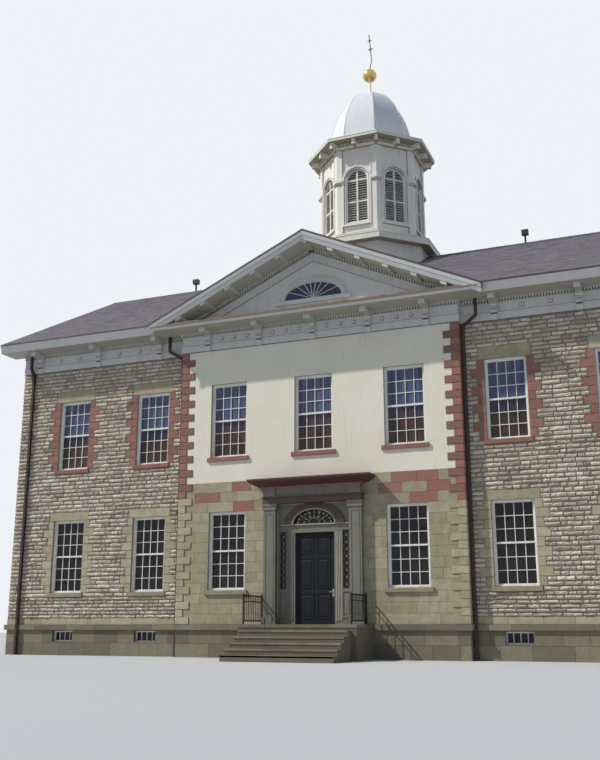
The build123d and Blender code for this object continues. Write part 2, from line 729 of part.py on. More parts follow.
# Half-round window of the pediment: trim, sill and bars that spread from the middle
with BuildPart() as lunette_frame:
    with BuildSketch(CENTRE_PLANE) as lunette_trim:
        with BuildLine():
            Line((-LUNETTE[0] - LUNETTE_TRIM, LUNETTE_SILL), (LUNETTE[0] + LUNETTE_TRIM, LUNETTE_SILL))
            EllipticalCenterArc(
                (0, LUNETTE_SILL),
                LUNETTE[0] + LUNETTE_TRIM,
                LUNETTE[1] + LUNETTE_TRIM,
                start_angle=0,
                arc_size=180,
            )
        make_face()
        with BuildLine():
            Line((-LUNETTE[0], LUNETTE_SILL), (LUNETTE[0], LUNETTE_SILL))
            EllipticalCenterArc((0, LUNETTE_SILL), *LUNETTE, start_angle=0, arc_size=180)
        make_face(mode=Mode.SUBTRACT)
    extrude(lunette_trim.sketch, amount=BAR)
    with BuildSketch(CENTRE_PLANE) as lunette_bars:
        with BuildLine():
            Line((-LUNETTE[0], LUNETTE_SILL), (LUNETTE[0], LUNETTE_SILL))
            EllipticalCenterArc((0, LUNETTE_SILL), *LUNETTE, start_angle=0, arc_size=180)
        make_face()
        with BuildLine():
            Line((BAR - LUNETTE[0], LUNETTE_SILL + BAR), (LUNETTE[0] - BAR, LUNETTE_SILL + BAR))
            EllipticalCenterArc(
                (0, LUNETTE_SILL + BAR),
                LUNETTE[0] - BAR,
                LUNETTE[1] - 2 * BAR,
                start_angle=0,
                arc_size=180,
            )
        make_face(mode=Mode.SUBTRACT)
        for step in range(1, LUNETTE_BARS + 1):
            angle = 180 * step / (LUNETTE_BARS + 1)
            level_part, upright_part = cos(radians(angle)) / LUNETTE[0], sin(radians(angle)) / LUNETTE[1]
            reach = 1 / (level_part**2 + upright_part**2) ** 0.5
            with Locations(Location((0, LUNETTE_SILL, 0), (0, 0, angle))):
                Rectangle(reach - BAR / 2, FAN_BAR, align=(Align.MIN, Align.CENTER))
    extrude(lunette_bars.sketch, amount=-BAR)
    wall_block(
        CENTRE_PLANE,
        (-LUNETTE[0] - 2 * LUNETTE_TRIM, LUNETTE[0] + 2 * LUNETTE_TRIM),
        (LUNETTE_SILL - LUNETTE_TRIM, LUNETTE_SILL),
        (0, 2 * BAR),
    )
    add(tympanum.part, mode=Mode.SUBTRACT)
finish(lunette_frame.part, "lunette_frame")

# Sloping cornice of the pediment, with its bed moulding and blocks
with BuildPart() as raking_cornice:
    apex = PEDIMENT_UNDER
    for height, back in RAKING_STEPS:
        chevron(CENTRE_PLANE, apex, height, PEDIMENT_HALF, CENTRE_OVERHANG - back)
        apex -= height
    chevron(CENTRE_PLANE, RAKING_SOFFIT, RAKING_BED[1], CENTRE_HALF, RAKING_BED[0])
    for step in range(-RAKING_BLOCKS_EACH_SIDE, RAKING_BLOCKS_EACH_SIDE + 1):
        x = step * RAKING_BLOCK_PITCH
        level = pediment_slope(RAKING_SOFFIT, x)
        lean = RAKING_BLOCK[0] / 2 * PEDIMENT_RISE * (0 if step == 0 else (1 if step > 0 else -1))
        left, right = x - RAKING_BLOCK[0] / 2, x + RAKING_BLOCK[0] / 2
        prism(
            CENTRE_PLANE,
            [
                (left, level + lean - RAKING_BLOCK[2]),
                (right, level - lean - RAKING_BLOCK[2]),
                (right, level - lean),
                (left, level + lean),
            ],
            RAKING_BLOCK[1] + RAKING_BED[0],
        )
    below_cornice_edge()
    add(pavilion_entablature.part, mode=Mode.SUBTRACT)
    add(eave_entablatures.part, mode=Mode.SUBTRACT)
finish(raking_cornice.part, "raking_cornice")

# Roofs: the pediment's roof runs back into the front slope of the main roof
PEDIMENT_FRONT = CENTRE_PLANE.offset(CENTRE_OVERHANG)
PEDIMENT_RUN = CENTRE_OVERHANG + RIDGE_Y
SLAB_BELOW = 3000.0


def under_main_roof():
    """Everything below the underside of the main roof's front slope."""
    prism(
        Plane(origin=(-ROOF_HALF, 0, 0), x_dir=(0, 1, 0), z_dir=(1, 0, 0)),
        [
            (WING_SETBACK, CENTRE_WALL_TOP - SLAB_BELOW),
            (RIDGE_Y, CENTRE_WALL_TOP - SLAB_BELOW),
            (RIDGE_Y, roof_under(RIDGE_Y)),
            (WING_SETBACK, roof_under(WING_SETBACK)),
        ],
        2 * ROOF_HALF,
        mode=Mode.SUBTRACT,
    )


with BuildPart() as pediment_roof:
    chevron(PEDIMENT_FRONT, PEDIMENT_APEX, ROOF_THICKNESS, PEDIMENT_HALF, -PEDIMENT_RUN)
    under_main_roof()
    below_cornice_edge()
    add(pavilion_entablature.part, mode=Mode.SUBTRACT)
    add(eave_entablatures.part, mode=Mode.SUBTRACT)
finish(pediment_roof.part, "pediment_roof")

with BuildPart() as main_roof_front:
    prism(
        Plane(origin=(-ROOF_HALF, 0, 0), x_dir=(0, 1, 0), z_dir=(1, 0, 0)),
        [
            (EAVE_Y, roof_under(EAVE_Y)),
            (RIDGE_Y, roof_under(RIDGE_Y)),
            (RIDGE_Y, RIDGE_LEVEL),
            (EAVE_Y, EAVE_TOP),
        ],
        2 * ROOF_HALF,
    )
    prism(
        PEDIMENT_FRONT,
        gable(PEDIMENT_APEX, drop=SLAB_BELOW),
        -PEDIMENT_RUN,
        mode=Mode.SUBTRACT,
    )
    add(pavilion_entablature.part, mode=Mode.SUBTRACT)
finish(main_roof_front.part, "main_roof_front")

with BuildPart() as main_roof_rear:
    rear_eave = 2 * RIDGE_Y - EAVE_Y
    prism(
        Plane(origin=(-ROOF_HALF, 0, 0), x_dir=(0, 1, 0), z_dir=(1, 0, 0)),
        [
            (RIDGE_Y, roof_under(RIDGE_Y)),
            (rear_eave, roof_under(rear_eave)),
            (rear_eave, EAVE_TOP),
            (RIDGE_Y, RIDGE_LEVEL),
        ],
        2 * ROOF_HALF,
    )
finish(main_roof_rear.part, "main_roof_rear")

with BuildPart() as verge_boards:
    front, back = WING_SETBACK, REAR_FACE
    for x in (-ROOF_HALF, BUILDING_HALF):
        prism(
            Plane(origin=(x, 0, 0), x_dir=(0, 1, 0), z_dir=(1, 0, 0)),
            [
                (front, roof_under(front)),
                (RIDGE_Y, roof_under(RIDGE_Y)),
                (back, roof_under(back)),
                (back, roof_under(back) - VERGE_BOARD),
                (RIDGE_Y, roof_under(RIDGE_Y) - VERGE_BOARD),
                (front, roof_under(front) - VERGE_BOARD),
            ],
            VERGE_OVERHANG,
        )
    add(eave_entablatures.part, mode=Mode.SUBTRACT)
finish(verge_boards.part, "verge_boards")


# Cupola: an eight-sided lantern over the middle of the ridge
def octagon(apothem):
    """An eight-sided outline with two faces square to X."""
    RegularPolygon(apothem, CUPOLA_SIDES, major_radius=False, rotation=180 / CUPOLA_SIDES)


def octagon_slab(apothem, low, high, mode=Mode.ADD):
    """An upright eight-sided block about the cupola's axis."""
    with BuildSketch(Plane(origin=(0, RIDGE_Y, low))) as outline:
        octagon(apothem)
    extrude(outline.sketch, amount=high - low, mode=mode)


def octagon_taper(low, low_apothem, high, high_apothem):
    """An eight-sided block that narrows upward."""
    with BuildSketch(Plane(origin=(0, RIDGE_Y, low))) as foot:
        octagon(low_apothem)
    with BuildSketch(Plane(origin=(0, RIDGE_Y, high))) as head:
        octagon(high_apothem)
    loft([foot.sketch, head.sketch])


with BuildPart() as cupola_base:
    octagon_slab(BASE_APOTHEM, EAVE_TOP, LEDGE_LEVELS[0])
    prism(
        Plane(origin=(-ROOF_HALF, 0, 0), x_dir=(0, 1, 0), z_dir=(1, 0, 0)),
        [
            (EAVE_Y, EAVE_TOP - SLAB_BELOW),
            (2 * RIDGE_Y - EAVE_Y, EAVE_TOP - SLAB_BELOW),
            (2 * RIDGE_Y - EAVE_Y, EAVE_TOP),
            (RIDGE_Y, RIDGE_LEVEL),
            (EAVE_Y, EAVE_TOP),
        ],
        2 * ROOF_HALF,
        mode=Mode.SUBTRACT,
    )
finish(cupola_base.part, "cupola_base")

with BuildPart() as cupola_ledge:
    octagon_slab(LEDGE_APOTHEM, *LEDGE_LEVELS)
finish(cupola_ledge.part, "cupola_ledge")

# One face of the drum, drawn facing +X on the axis: field, window trim and opening
FACE_CLEAR = FACE_WIDTH - 2 * CUPOLA_PILASTER
BAY_PLANE = Plane(origin=(0, 0, 0), x_dir=(0, 1, 0), z_dir=(1, 0, 0))
DRUM_FOOT = LEDGE_LEVELS[1]
CUPOLA_SOFFIT = CUPOLA_CORNICE_TOP - CUPOLA_CORNICE_FASCIA
DRUM_HEAD = CUPOLA_SOFFIT - CUPOLA_BED[1]

with BuildPart() as face_field:
    wall_block(
        BAY_PLANE,
        (-FACE_CLEAR / 2, FACE_CLEAR / 2),
        (DRUM_FOOT + CUPOLA_PLINTH, DRUM_HEAD),
        (0, 2 * CUPOLA_CAP_PROJECTION),
    )

with BuildPart() as face_trim:
    with BuildSketch(BAY_PLANE) as trim:
        grown = LOUVRE_WIDTH / 2 + LOUVRE_TRIM[0]
        make_face(arched_outline(grown, LOUVRE_SILL - LOUVRE_TRIM[0], LOUVRE_SPRING, grown))
    extrude(trim.sketch, amount=LOUVRE_TRIM[1])

with BuildPart() as face_ledge:
    ledge_top = LOUVRE_SILL - LOUVRE_FRAME
    wall_block(
        BAY_PLANE,
        (-FACE_CLEAR / 2, FACE_CLEAR / 2),
        (ledge_top - LOUVRE_LEDGE[0], ledge_top),
        (0, LOUVRE_LEDGE[1]),
    )

with BuildPart() as face_opening:
    with BuildSketch(BAY_PLANE.offset(LOUVRE_TRIM[1])) as opening:
        make_face(arched_outline(LOUVRE_WIDTH / 2, LOUVRE_SILL, LOUVRE_SPRING, LOUVRE_WIDTH / 2))
    extrude(opening.sketch, amount=-2 * DRUM_WALL)


def on_each_face(piece, apothem, mode=Mode.ADD, turn=0.0):
    """Copy a piece that faces +X onto all faces of the cupola, or its corners with a turn."""
    with Locations((0, RIDGE_Y)):
        with PolarLocations(apothem, CUPOLA_SIDES, start_angle=turn):
            add(piece, mode=mode)


with BuildPart() as cupola_drum:
    octagon_slab(DRUM_APOTHEM + CUPOLA_PILASTER_PROJECTION, DRUM_FOOT, DRUM_HEAD)
    octagon_slab(DRUM_APOTHEM + CUPOLA_CAP_PROJECTION, *CUPOLA_IMPOST)
    inset, roll = CUPOLA_IMPOST_ROLL
    octagon_slab(DRUM_APOTHEM + roll, CUPOLA_IMPOST[0] + inset, CUPOLA_IMPOST[1] - inset)
    octagon_slab(DRUM_APOTHEM + CUPOLA_CAP_PROJECTION, DRUM_FOOT, DRUM_FOOT + CUPOLA_PLINTH)
    octagon_slab(DRUM_APOTHEM - DRUM_WALL, DRUM_FOOT, DRUM_HEAD, mode=Mode.SUBTRACT)
    on_each_face(face_field.part, DRUM_APOTHEM, mode=Mode.SUBTRACT)
    on_each_face(face_trim.part, DRUM_APOTHEM)
    on_each_face(face_ledge.part, DRUM_APOTHEM)
    on_each_face(face_opening.part, DRUM_APOTHEM, mode=Mode.SUBTRACT)
finish(cupola_drum.part, "cupola_drum")

# One louvred window, drawn facing +X, then set into each face
LOUVRE_HEAD = LOUVRE_SPRING + LOUVRE_WIDTH / 2
SLAT_LEVELS = [LOUVRE_SILL + step * SLAT[2] for step in range(1, int((LOUVRE_HEAD - LOUVRE_SILL) / SLAT[2]))]


def slats(levels, half):
    """Tilted slats of one length across the louvred window."""
    side_plane = Plane(origin=(0, half, 0), x_dir=(1, 0, 0), z_dir=(0, -1, 0))
    with BuildSketch(side_plane) as slat_ends:
        with Locations(*[(0, level) for level in levels]):
            Rectangle(SLAT[0], SLAT[1], rotation=-SLAT_TILT)
    extrude(slat_ends.sketch, amount=2 * half)


with BuildPart() as louvre_window:
    slat_half = (LOUVRE_WIDTH - LOUVRE_FRAME) / 2
    slats([level for level in SLAT_LEVELS if level <= LOUVRE_SPRING], slat_half)
    for level in SLAT_LEVELS:
        rise = level + SLAT[0] / 2 * sin(radians(SLAT_TILT)) - LOUVRE_SPRING
        if level > LOUVRE_SPRING and rise < slat_half:
            slats([level], (slat_half**2 - rise**2) ** 0.5)
    with BuildSketch(BAY_PLANE.offset(-LOUVRE_DEPTH / 2)) as lattice:
        inner = LOUVRE_WIDTH / 2 - LOUVRE_FRAME
        make_face(arched_outline(LOUVRE_WIDTH / 2, LOUVRE_SILL, LOUVRE_SPRING, LOUVRE_WIDTH / 2))
        make_face(
            arched_outline(inner, LOUVRE_SILL + LOUVRE_FRAME, LOUVRE_SPRING, inner), mode=Mode.SUBTRACT
        )
        with Locations((0, (LOUVRE_SILL + LOUVRE_HEAD) / 2)):
            Rectangle(LOUVRE_FRAME, LOUVRE_HEAD - LOUVRE_SILL - LOUVRE_FRAME)
        with Locations((0, LOUVRE_TRANSOM), (0, LOUVRE_SPRING)):
            Rectangle(LOUVRE_WIDTH - LOUVRE_FRAME, LOUVRE_FRAME)
    extrude(lattice.sketch, amount=LOUVRE_DEPTH)

with BuildPart() as cupola_louvres:
    on_each_face(louvre_window.part, DRUM_APOTHEM - DRUM_WALL / 2)
finish(cupola_louvres.part, "cupola_louvres")

with BuildPart() as cornice_bracket:
    width, reach, height = CUPOLA_BRACKET
    wall_block(BAY_PLANE, (-width / 2, width / 2), (CUPOLA_SOFFIT - height, CUPOLA_SOFFIT), (0, reach))

with BuildPart() as cupola_cornice:
    octagon_slab(DRUM_APOTHEM + CUPOLA_BED[0], DRUM_HEAD, CUPOLA_SOFFIT)
    octagon_slab(CUPOLA_CORNICE_APOTHEM, CUPOLA_SOFFIT, CUPOLA_CORNICE_TOP)
    octagon_taper(CUPOLA_CORNICE_TOP, CUPOLA_CORNICE_APOTHEM, DOME_FOOT, DOME_APOTHEM)
    bed_apothem = DRUM_APOTHEM + CUPOLA_BED[0]
    half_turn = 180 / CUPOLA_SIDES
    bed_corner = bed_apothem / cos(radians(half_turn))
    on_each_face(cornice_bracket.part, bed_apothem)
    on_each_face(cornice_bracket.part, bed_corner - CORNER_BRACKET_INSET, turn=half_turn)
finish(cupola_cornice.part, "cupola_cornice")

# One segment of the dome, drawn facing +X on the axis: a wedge under a half-elliptical vault
with BuildPart() as dome_segment:
    dome_half_side = DOME_APOTHEM * tan(radians(half_turn))
    with BuildSketch(Plane.XY.offset(DOME_FOOT)) as wedge:
        with BuildLine():
            Polyline(
                (0, 0), (DOME_APOTHEM, -dome_half_side), (DOME_APOTHEM, dome_half_side), (0, 0)
            )
        make_face()
    extrude(wedge.sketch, amount=DOME_HEIGHT)
    with BuildSketch(Plane(origin=(0, 0, 0), x_dir=(1, 0, 0), z_dir=(0, -1, 0))) as vault:
        with BuildLine():
            EllipticalCenterArc((0, DOME_FOOT), DOME_APOTHEM, DOME_HEIGHT, start_angle=0, arc_size=90)
            Polyline((0, DOME_FOOT + DOME_HEIGHT), (0, DOME_FOOT), (DOME_APOTHEM, DOME_FOOT))
        make_face()
    extrude(vault.sketch, amount=DOME_APOTHEM, both=True, mode=Mode.INTERSECT)

with BuildPart() as cupola_dome:
    on_each_face(dome_segment.part, 0)
finish(cupola_dome.part, "cupola_dome")

AXIS_PLANE = Plane(origin=(0, RIDGE_Y, 0), x_dir=(1, 0, 0), z_dir=(0, -1, 0))
AXIS = Axis((0, RIDGE_Y, 0), (0, 0, 1))
DOME_TOP = DOME_FOOT + DOME_HEIGHT
with BuildPart() as finial:
    with BuildSketch(AXIS_PLANE) as finial_half:
        with BuildLine():
            Polyline(
                (0, DOME_TOP),
                (SPIKE_RADII[0], DOME_TOP),
                (SPIKE_RADII[1], DOME_TOP + SPIKE_TAPER),
                (SPIKE_RADII[1], BALL_LEVEL),
                (0, BALL_LEVEL),
                close=True,
            )
        make_face()
        with BuildLine():
            Line((0, BALL_LEVEL + BALL_RADIUS), (0, BALL_LEVEL - BALL_RADIUS))
            CenterArc((0, BALL_LEVEL), BALL_RADIUS, -90, 180)
        make_face()
    revolve(finial_half.sketch, axis=AXIS)
finish(finial.part, "finial")

with BuildPart() as lightning_rod:
    with BuildLine() as rod_line:
        FilletPolyline(
            (0, RIDGE_Y, BALL_LEVEL + BALL_RADIUS),
            (ROD_LEAN, RIDGE_Y, ROD_BEND),
            (0, RIDGE_Y, ROD_TOP),
            radius=ROD_CURVE,
        )
    with BuildSketch(Plane(origin=rod_line.line @ 0, z_dir=rod_line.line % 0)):
        Circle(ROD_RADIUS)
    sweep()
finish(lightning_rod.part, "lightning_rod")

# Entrance: the wooden frame that fills the opening in the stonework
CASE_BACK = CASE_FACE + CASE_DEPTH
DOOR_HALF = DOOR_WIDTH / 2 + DOOR_CLEARANCE
DOOR_HOLE_TOP = DOOR_HEAD + DOOR_CLEARANCE
LEAF_BACK = DOOR_FACE + DOOR_THICKNESS
HINGE_X = -(DOOR_WIDTH + DOOR_CLEARANCE) / 2
HINGE_Y = LEAF_BACK + HINGE_RADIUS
hinge_levels = [FLOOR_LEVEL + DOOR_HEIGHT * share for share in HINGE_LEVELS]


def fan_outline(grow):
    """The half-ellipse of the fanlight, made larger or smaller all round."""
    with BuildLine() as edge:
        Line((-FANLIGHT[0] - grow, TRANSOM_TOP), (FANLIGHT[0] + grow, TRANSOM_TOP))
        EllipticalCenterArc(
            (0, TRANSOM_TOP), FANLIGHT[0] + grow, FANLIGHT[1] + grow, start_angle=0, arc_size=180
        )
    return edge.edges()


with BuildPart() as door_frame:
    case_half = DOORCASE_WIDTH / 2
    wall_block(CENTRE_PLANE, (-case_half, case_half), (FLOOR_LEVEL, DOORCASE_TOP), (-CASE_BACK, -CASE_FACE))
    wall_block(
        CENTRE_PLANE,
        (-DOOR_HALF, DOOR_HALF),
        (FLOOR_LEVEL, DOOR_HOLE_TOP),
        (-CASE_BACK, DOOR_CLEARANCE - DOOR_FACE),
        mode=Mode.SUBTRACT,
    )
    stop_half = DOOR_HALF - DOOR_CLEARANCE - DOOR_STOP
    wall_block(
        CENTRE_PLANE,
        (-stop_half, stop_half),
        (FLOOR_LEVEL, DOOR_HOLE_TOP - DOOR_CLEARANCE - DOOR_STOP),
        (-CASE_BACK, 0),
        mode=Mode.SUBTRACT,
    )
    for side in (-1, 1):
        wall_block(
            CENTRE_PLANE,
            sorted((side * SIDELIGHT[0], side * SIDELIGHT[1])),
            SIDELIGHT_LEVELS,
            (-CASE_BACK, 0),
            mode=Mode.SUBTRACT,
        )
    with BuildSketch(CENTRE_PLANE) as fan_hole:
        make_face(fan_outline(0))
    extrude(fan_hole.sketch, amount=-CASE_BACK, mode=Mode.SUBTRACT)
    wall_block(
        CENTRE_PLANE,
        (-case_half, case_half),
        (TRANSOM_TOP - TRANSOM_STRIP[0], TRANSOM_TOP),
        (-CASE_FACE, TRANSOM_STRIP[1] - CASE_FACE),
    )
    with BuildSketch(CENTRE_PLANE.offset(-CASE_FACE)) as arch_band:
        make_face(fan_outline(ARCH_BAND[0]))
        make_face(fan_outline(0), mode=Mode.SUBTRACT)
    extrude(arch_band.sketch, amount=ARCH_BAND[1])
    with BuildSketch(CENTRE_PLANE.offset(-CASE_FACE)) as fan_bars:
        with Locations((0, TRANSOM_TOP)):
            Circle(FAN_HUB)
            Circle(FAN_HUB - BAR, mode=Mode.SUBTRACT)
        for step in range(1, FAN_BARS + 1):
            angle = 180 * step / (FAN_BARS + 1)
            with Locations(Location((0, TRANSOM_TOP, 0), (0, 0, angle))):
                with Locations((FAN_HUB - BAR / 2, 0)):
                    Rectangle(FANLIGHT[0], FAN_BAR, align=(Align.MIN, Align.CENTER))
        with BuildLine():
            Line((-FANLIGHT[0], TRANSOM_TOP), (FANLIGHT[0], TRANSOM_TOP))
            EllipticalCenterArc((0, TRANSOM_TOP), *FANLIGHT, start_angle=0, arc_size=180)
        make_face(mode=Mode.INTERSECT)
    extrude(fan_bars.sketch, amount=-BAR)
    for level in hinge_levels:
        with BuildSketch(Plane.XY.offset(level)) as hinge_lug:
            with Locations((HINGE_X - HINGE_RADIUS - HINGE_GAP, LEAF_BACK)):
                Rectangle(FLAP_REACH, HINGE_RADIUS, align=(Align.MAX, Align.MIN))
        extrude(hinge_lug.sketch, amount=HINGE_HEIGHT)
finish(door_frame.part, "door_frame")

with BuildPart() as door_glass:
    with BuildSketch(CENTRE_PLANE.offset(-CASE_FACE - BAR - GLASS)) as fan_pane:
        make_face(fan_outline(0))
    extrude(fan_pane.sketch, amount=-GLASS)
    for side in (-1, 1):
        wall_block(
            CENTRE_PLANE,
            sorted((side * SIDELIGHT[0], side * SIDELIGHT[1])),
            SIDELIGHT_LEVELS,
            (-CASE_FACE - BAR - 2 * GLASS, -CASE_FACE - BAR - GLASS),
        )
finish(door_glass.part, "door_glass")

# Pilasters on both sides of the door, each with a base and a cap
with BuildPart() as door_pilasters:
    for side in (-1, 1):
        x, half = side * PILASTER_X, PILASTER[0] / 2
        wall_block(CENTRE_PLANE, (x - half, x + half), (FLOOR_LEVEL, PILASTER_TOP), (0, PILASTER[1]))
        for (height, grow), foot in (
            (PILASTER_BASE, FLOOR_LEVEL),
            (PILASTER_CAP, PILASTER_TOP - PILASTER_CAP[0]),
            (PILASTER_ABACUS, PILASTER_TOP - PILASTER_ABACUS[0]),
        ):
            wall_block(
                CENTRE_PLANE, (x - half - grow, x + half + grow), (foot, foot + height), (0, PILASTER[1] + grow)
            )
    add(foundation.part, mode=Mode.SUBTRACT)
finish(door_pilasters.part, "door_pilasters")

# Architrave, frieze and flat canopy over the pilasters
with BuildPart() as door_canopy:
    core_half = PILASTER_X + PILASTER[0] / 2
    reach = CANOPY_REACH - PILASTER[1]
    lower_top = PILASTER_TOP + DOOR_ARCHITRAVE[0]
    wall_block(CENTRE_PLANE, (-core_half, core_half), (PILASTER_TOP, CANOPY_TOP), (0, PILASTER[1]))
    for side in (-1, 1):
        inner, outer = sorted((side * (core_half - PILASTER[0]), side * core_half))
        wall_block(
            CENTRE_PLANE, (inner, outer), (lower_top, CANOPY_SOFFIT), (0, PILASTER[1] + CANOPY_BLOCK)
        )
    with BuildLine() as canopy_path:
        Polyline(
            (-core_half, 0, 0),
            (-core_half, -PILASTER[1], 0),
            (core_half, -PILASTER[1], 0),
            (core_half, 0, 0),
        )
    canopy_plane = Plane(origin=(-core_half, 0, 0), x_dir=(-1, 0, 0), z_dir=(0, 1, 0))
    with BuildSketch(canopy_plane) as canopy_section:
        with BuildLine():
            edge_top = CANOPY_TOP - CANOPY_FALL
            Polyline(
                (0, CANOPY_SOFFIT - CANOPY_BED),
                (CANOPY_BED, CANOPY_SOFFIT),
                (reach - CANOPY_COVE[0], CANOPY_SOFFIT),
                (reach - CANOPY_EDGE, CANOPY_SOFFIT + CANOPY_COVE[1]),
                (reach, edge_top - CANOPY_EDGE),
                (reach, edge_top),
                (0, CANOPY_TOP),
                close=True,
            )
        make_face()
        with BuildLine():
            fillet_foot = lower_top - DOOR_ARCHITRAVE_FILLET[0]
            Polyline(
                (0, PILASTER_TOP),
                (DOOR_ARCHITRAVE[1], PILASTER_TOP),
                (DOOR_ARCHITRAVE[1], fillet_foot),
                (DOOR_ARCHITRAVE_FILLET[1], fillet_foot),
                (DOOR_ARCHITRAVE_FILLET[1], lower_top),
                (0, lower_top),
                close=True,
            )
        make_face()
    sweep(canopy_section.sketch, path=canopy_path.line, transition=Transition.RIGHT)
finish(door_canopy.part, "door_canopy")

# Door leaf, its hinges and its handle
with BuildPart() as front_door:
    wall_block(
        CENTRE_PLANE,
        (-DOOR_WIDTH / 2, DOOR_WIDTH / 2),
        (FLOOR_LEVEL + DOOR_CLEARANCE, DOOR_HEAD),
        (-LEAF_BACK, -DOOR_FACE),
    )
finish(front_door.part, "front_door")

with BuildPart() as door_hinges:
    for level in hinge_levels:
        with BuildSketch(Plane.XY.offset(level)) as knuckle:
            with Locations((HINGE_X, HINGE_Y)):
                Circle(HINGE_RADIUS)
            with Locations((HINGE_X, LEAF_BACK)):
                Rectangle(FLAP_REACH, FLAP, align=(Align.MIN, Align.MIN))
        extrude(knuckle.sketch, amount=HINGE_HEIGHT)
finish(door_hinges.part, "door_hinges")

with BuildPart() as door_handle:
    handle_x = DOOR_WIDTH / 2 - HANDLE_BACKSET
    handle_z = FLOOR_LEVEL + HANDLE_LEVEL
    spindle_z = handle_z + HANDLE_SPINDLE[2]
    lever_depth = HANDLE_SPINDLE[1] - HANDLE_LEVER[2]
    for face, out in ((-DOOR_FACE, 1), (-LEAF_BACK, -1)):
        plane = CENTRE_PLANE.offset(face)
        with BuildSketch(plane) as rose:
            with Locations((handle_x, handle_z)):
                RectangleRounded(*HANDLE_PLATE[:3])
        extrude(rose.sketch, amount=out * HANDLE_PLATE[3])
        with BuildSketch(plane) as spindle:
            with Locations((handle_x, spindle_z)):
                Circle(HANDLE_SPINDLE[0])
        extrude(spindle.sketch, amount=out * HANDLE_SPINDLE[1])
        with BuildSketch(plane.offset(out * lever_depth)) as lever:
            with Locations((handle_x + HANDLE_LEVER[3], spindle_z)):
                Rectangle(*HANDLE_LEVER[:2], align=(Align.MAX, Align.CENTER))
        extrude(lever.sketch, amount=out * HANDLE_LEVER[2])
finish(door_handle.part, "door_handle")

# Landing and steps
STEP_RISE = FLOOR_LEVEL / STEP_COUNT
with BuildPart() as landing:
    block((-LANDING_HALF, LANDING_HALF), (-LANDING_DEPTH, 0), (0, FLOOR_LEVEL))
    add(foundation.part, mode=Mode.SUBTRACT)
finish(landing.part, "landing")

with BuildPart() as front_steps:
    outline = [(-LANDING_DEPTH, 0)]
    for step in range(1, STEP_COUNT):
        nose = -LANDING_DEPTH - (STEP_COUNT - step) * STEP_TREAD
        outline += [(nose, (step - 1) * STEP_RISE), (nose, step * STEP_RISE)]
    outline.append((-LANDING_DEPTH, (STEP_COUNT - 1) * STEP_RISE))
    prism(
        Plane(origin=(-RAIL_X, 0, 0), x_dir=(0, 1, 0), z_dir=(1, 0, 0)), outline, 2 * RAIL_X
    )
finish(front_steps.part, "front_steps")

# Iron railings on the landing
with BuildPart() as railings:
    rail_front = -LANDING_DEPTH + RAIL_BAR
    rail_back = -WATER_TABLE_PROJECTION
    foot = FLOOR_LEVEL
    for side in (-1, 1):
        x = side * RAIL_X
        for level in (foot + RAIL_FOOT, foot + RAIL_HEIGHT - RAIL_BAR):
            block((x - RAIL_BAR / 2, x + RAIL_BAR / 2), (rail_front, rail_back), (level, level + RAIL_BAR))
        for y in (rail_front, rail_back - RAIL_BAR):
            block((x - RAIL_BAR / 2, x + RAIL_BAR / 2), (y, y + RAIL_BAR), (foot, foot + RAIL_HEIGHT))
        count = int((rail_back - rail_front) / BALUSTER_PITCH)
        for step in range(1, count):
            y = rail_front + step * (rail_back - rail_front) / count
            half = BALUSTER / 2
            top = foot + RAIL_HEIGHT - RAIL_BAR / 2
            block((x - half, x + half), (y - half, y + half), (foot + RAIL_FOOT, top))
finish(railings.part, "railings")

# Rainwater pipes, offset from the eaves back to the wall
def rain_pipe(x, wall_y, outward, lean):
    """A pipe from the soffit down a wall; outward is -1 at the front, 1 at the rear."""
    near = wall_y + outward * (PIPE / 2 + PIPE_GAP)
    far = near + outward * PIPE_OFFSET[1]
    with BuildLine() as run:
        FilletPolyline(
            (x + lean, far, PIPE_HEAD),
            (x + lean, far, PIPE_KNEE),
            (x, near, PIPE_KNEE - PIPE_DROP),
            (x, near, 0),
            radius=PIPE_BEND,
        )
    with BuildSketch(Plane(origin=run.line @ 0, x_dir=(1, 0, 0), z_dir=run.line % 0)) as outline:
        Rectangle(PIPE, PIPE)
    sweep(outline.sketch, path=run.line)


with BuildPart() as downspouts:
    corner_x = CENTRE_HALF + QUOIN_PROJECTION + PIPE_GAP + PIPE / 2
    end_x = BUILDING_HALF - 2 * QUOIN_SHORT
    for side in (-1, 1):
        rain_pipe(side * corner_x, WING_SETBACK, -1, side * PIPE_OFFSET[0])
        rain_pipe(side * end_x, WING_SETBACK, -1, 0)
        rain_pipe(side * end_x, REAR_FACE, 1, 0)
    add(foundation.part, mode=Mode.SUBTRACT)
finish(downspouts.part, "downspouts")

# Roof lamps: two on the ridge, one on the cupola's ledge
with BuildPart() as roof_lamps:
    for x in LAMP_PLACES:
        with BuildSketch(Plane(origin=(x, RIDGE_Y, RIDGE_LEVEL))) as post:
            Circle(LAMP_POST[0])
        extrude(post.sketch, amount=LAMP_POST[1])
        with BuildSketch(Plane(origin=(x, RIDGE_Y, RIDGE_LEVEL + LAMP_POST[1]))) as head:
            Rectangle(LAMP_HEAD[0], LAMP_HEAD[1])
        extrude(head.sketch, amount=LAMP_HEAD[2])
    ledge_x = -DRUM_APOTHEM - (LEDGE_APOTHEM - DRUM_APOTHEM) / 2
    with BuildSketch(Plane(origin=(ledge_x, RIDGE_Y - DRUM_APOTHEM / 2, LEDGE_LEVELS[1]))) as box:
        Rectangle(LEDGE_LAMP[1], LEDGE_LAMP[0])
    extrude(box.sketch, amount=LEDGE_LAMP[2])
finish(roof_lamps.part, "roof_lamps")
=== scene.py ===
"""The looks of a two-storey stone courthouse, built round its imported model.

Lengths are metres. X runs along the front, Y into the building and Z up.
"""

import math
import random
from itertools import pairwise

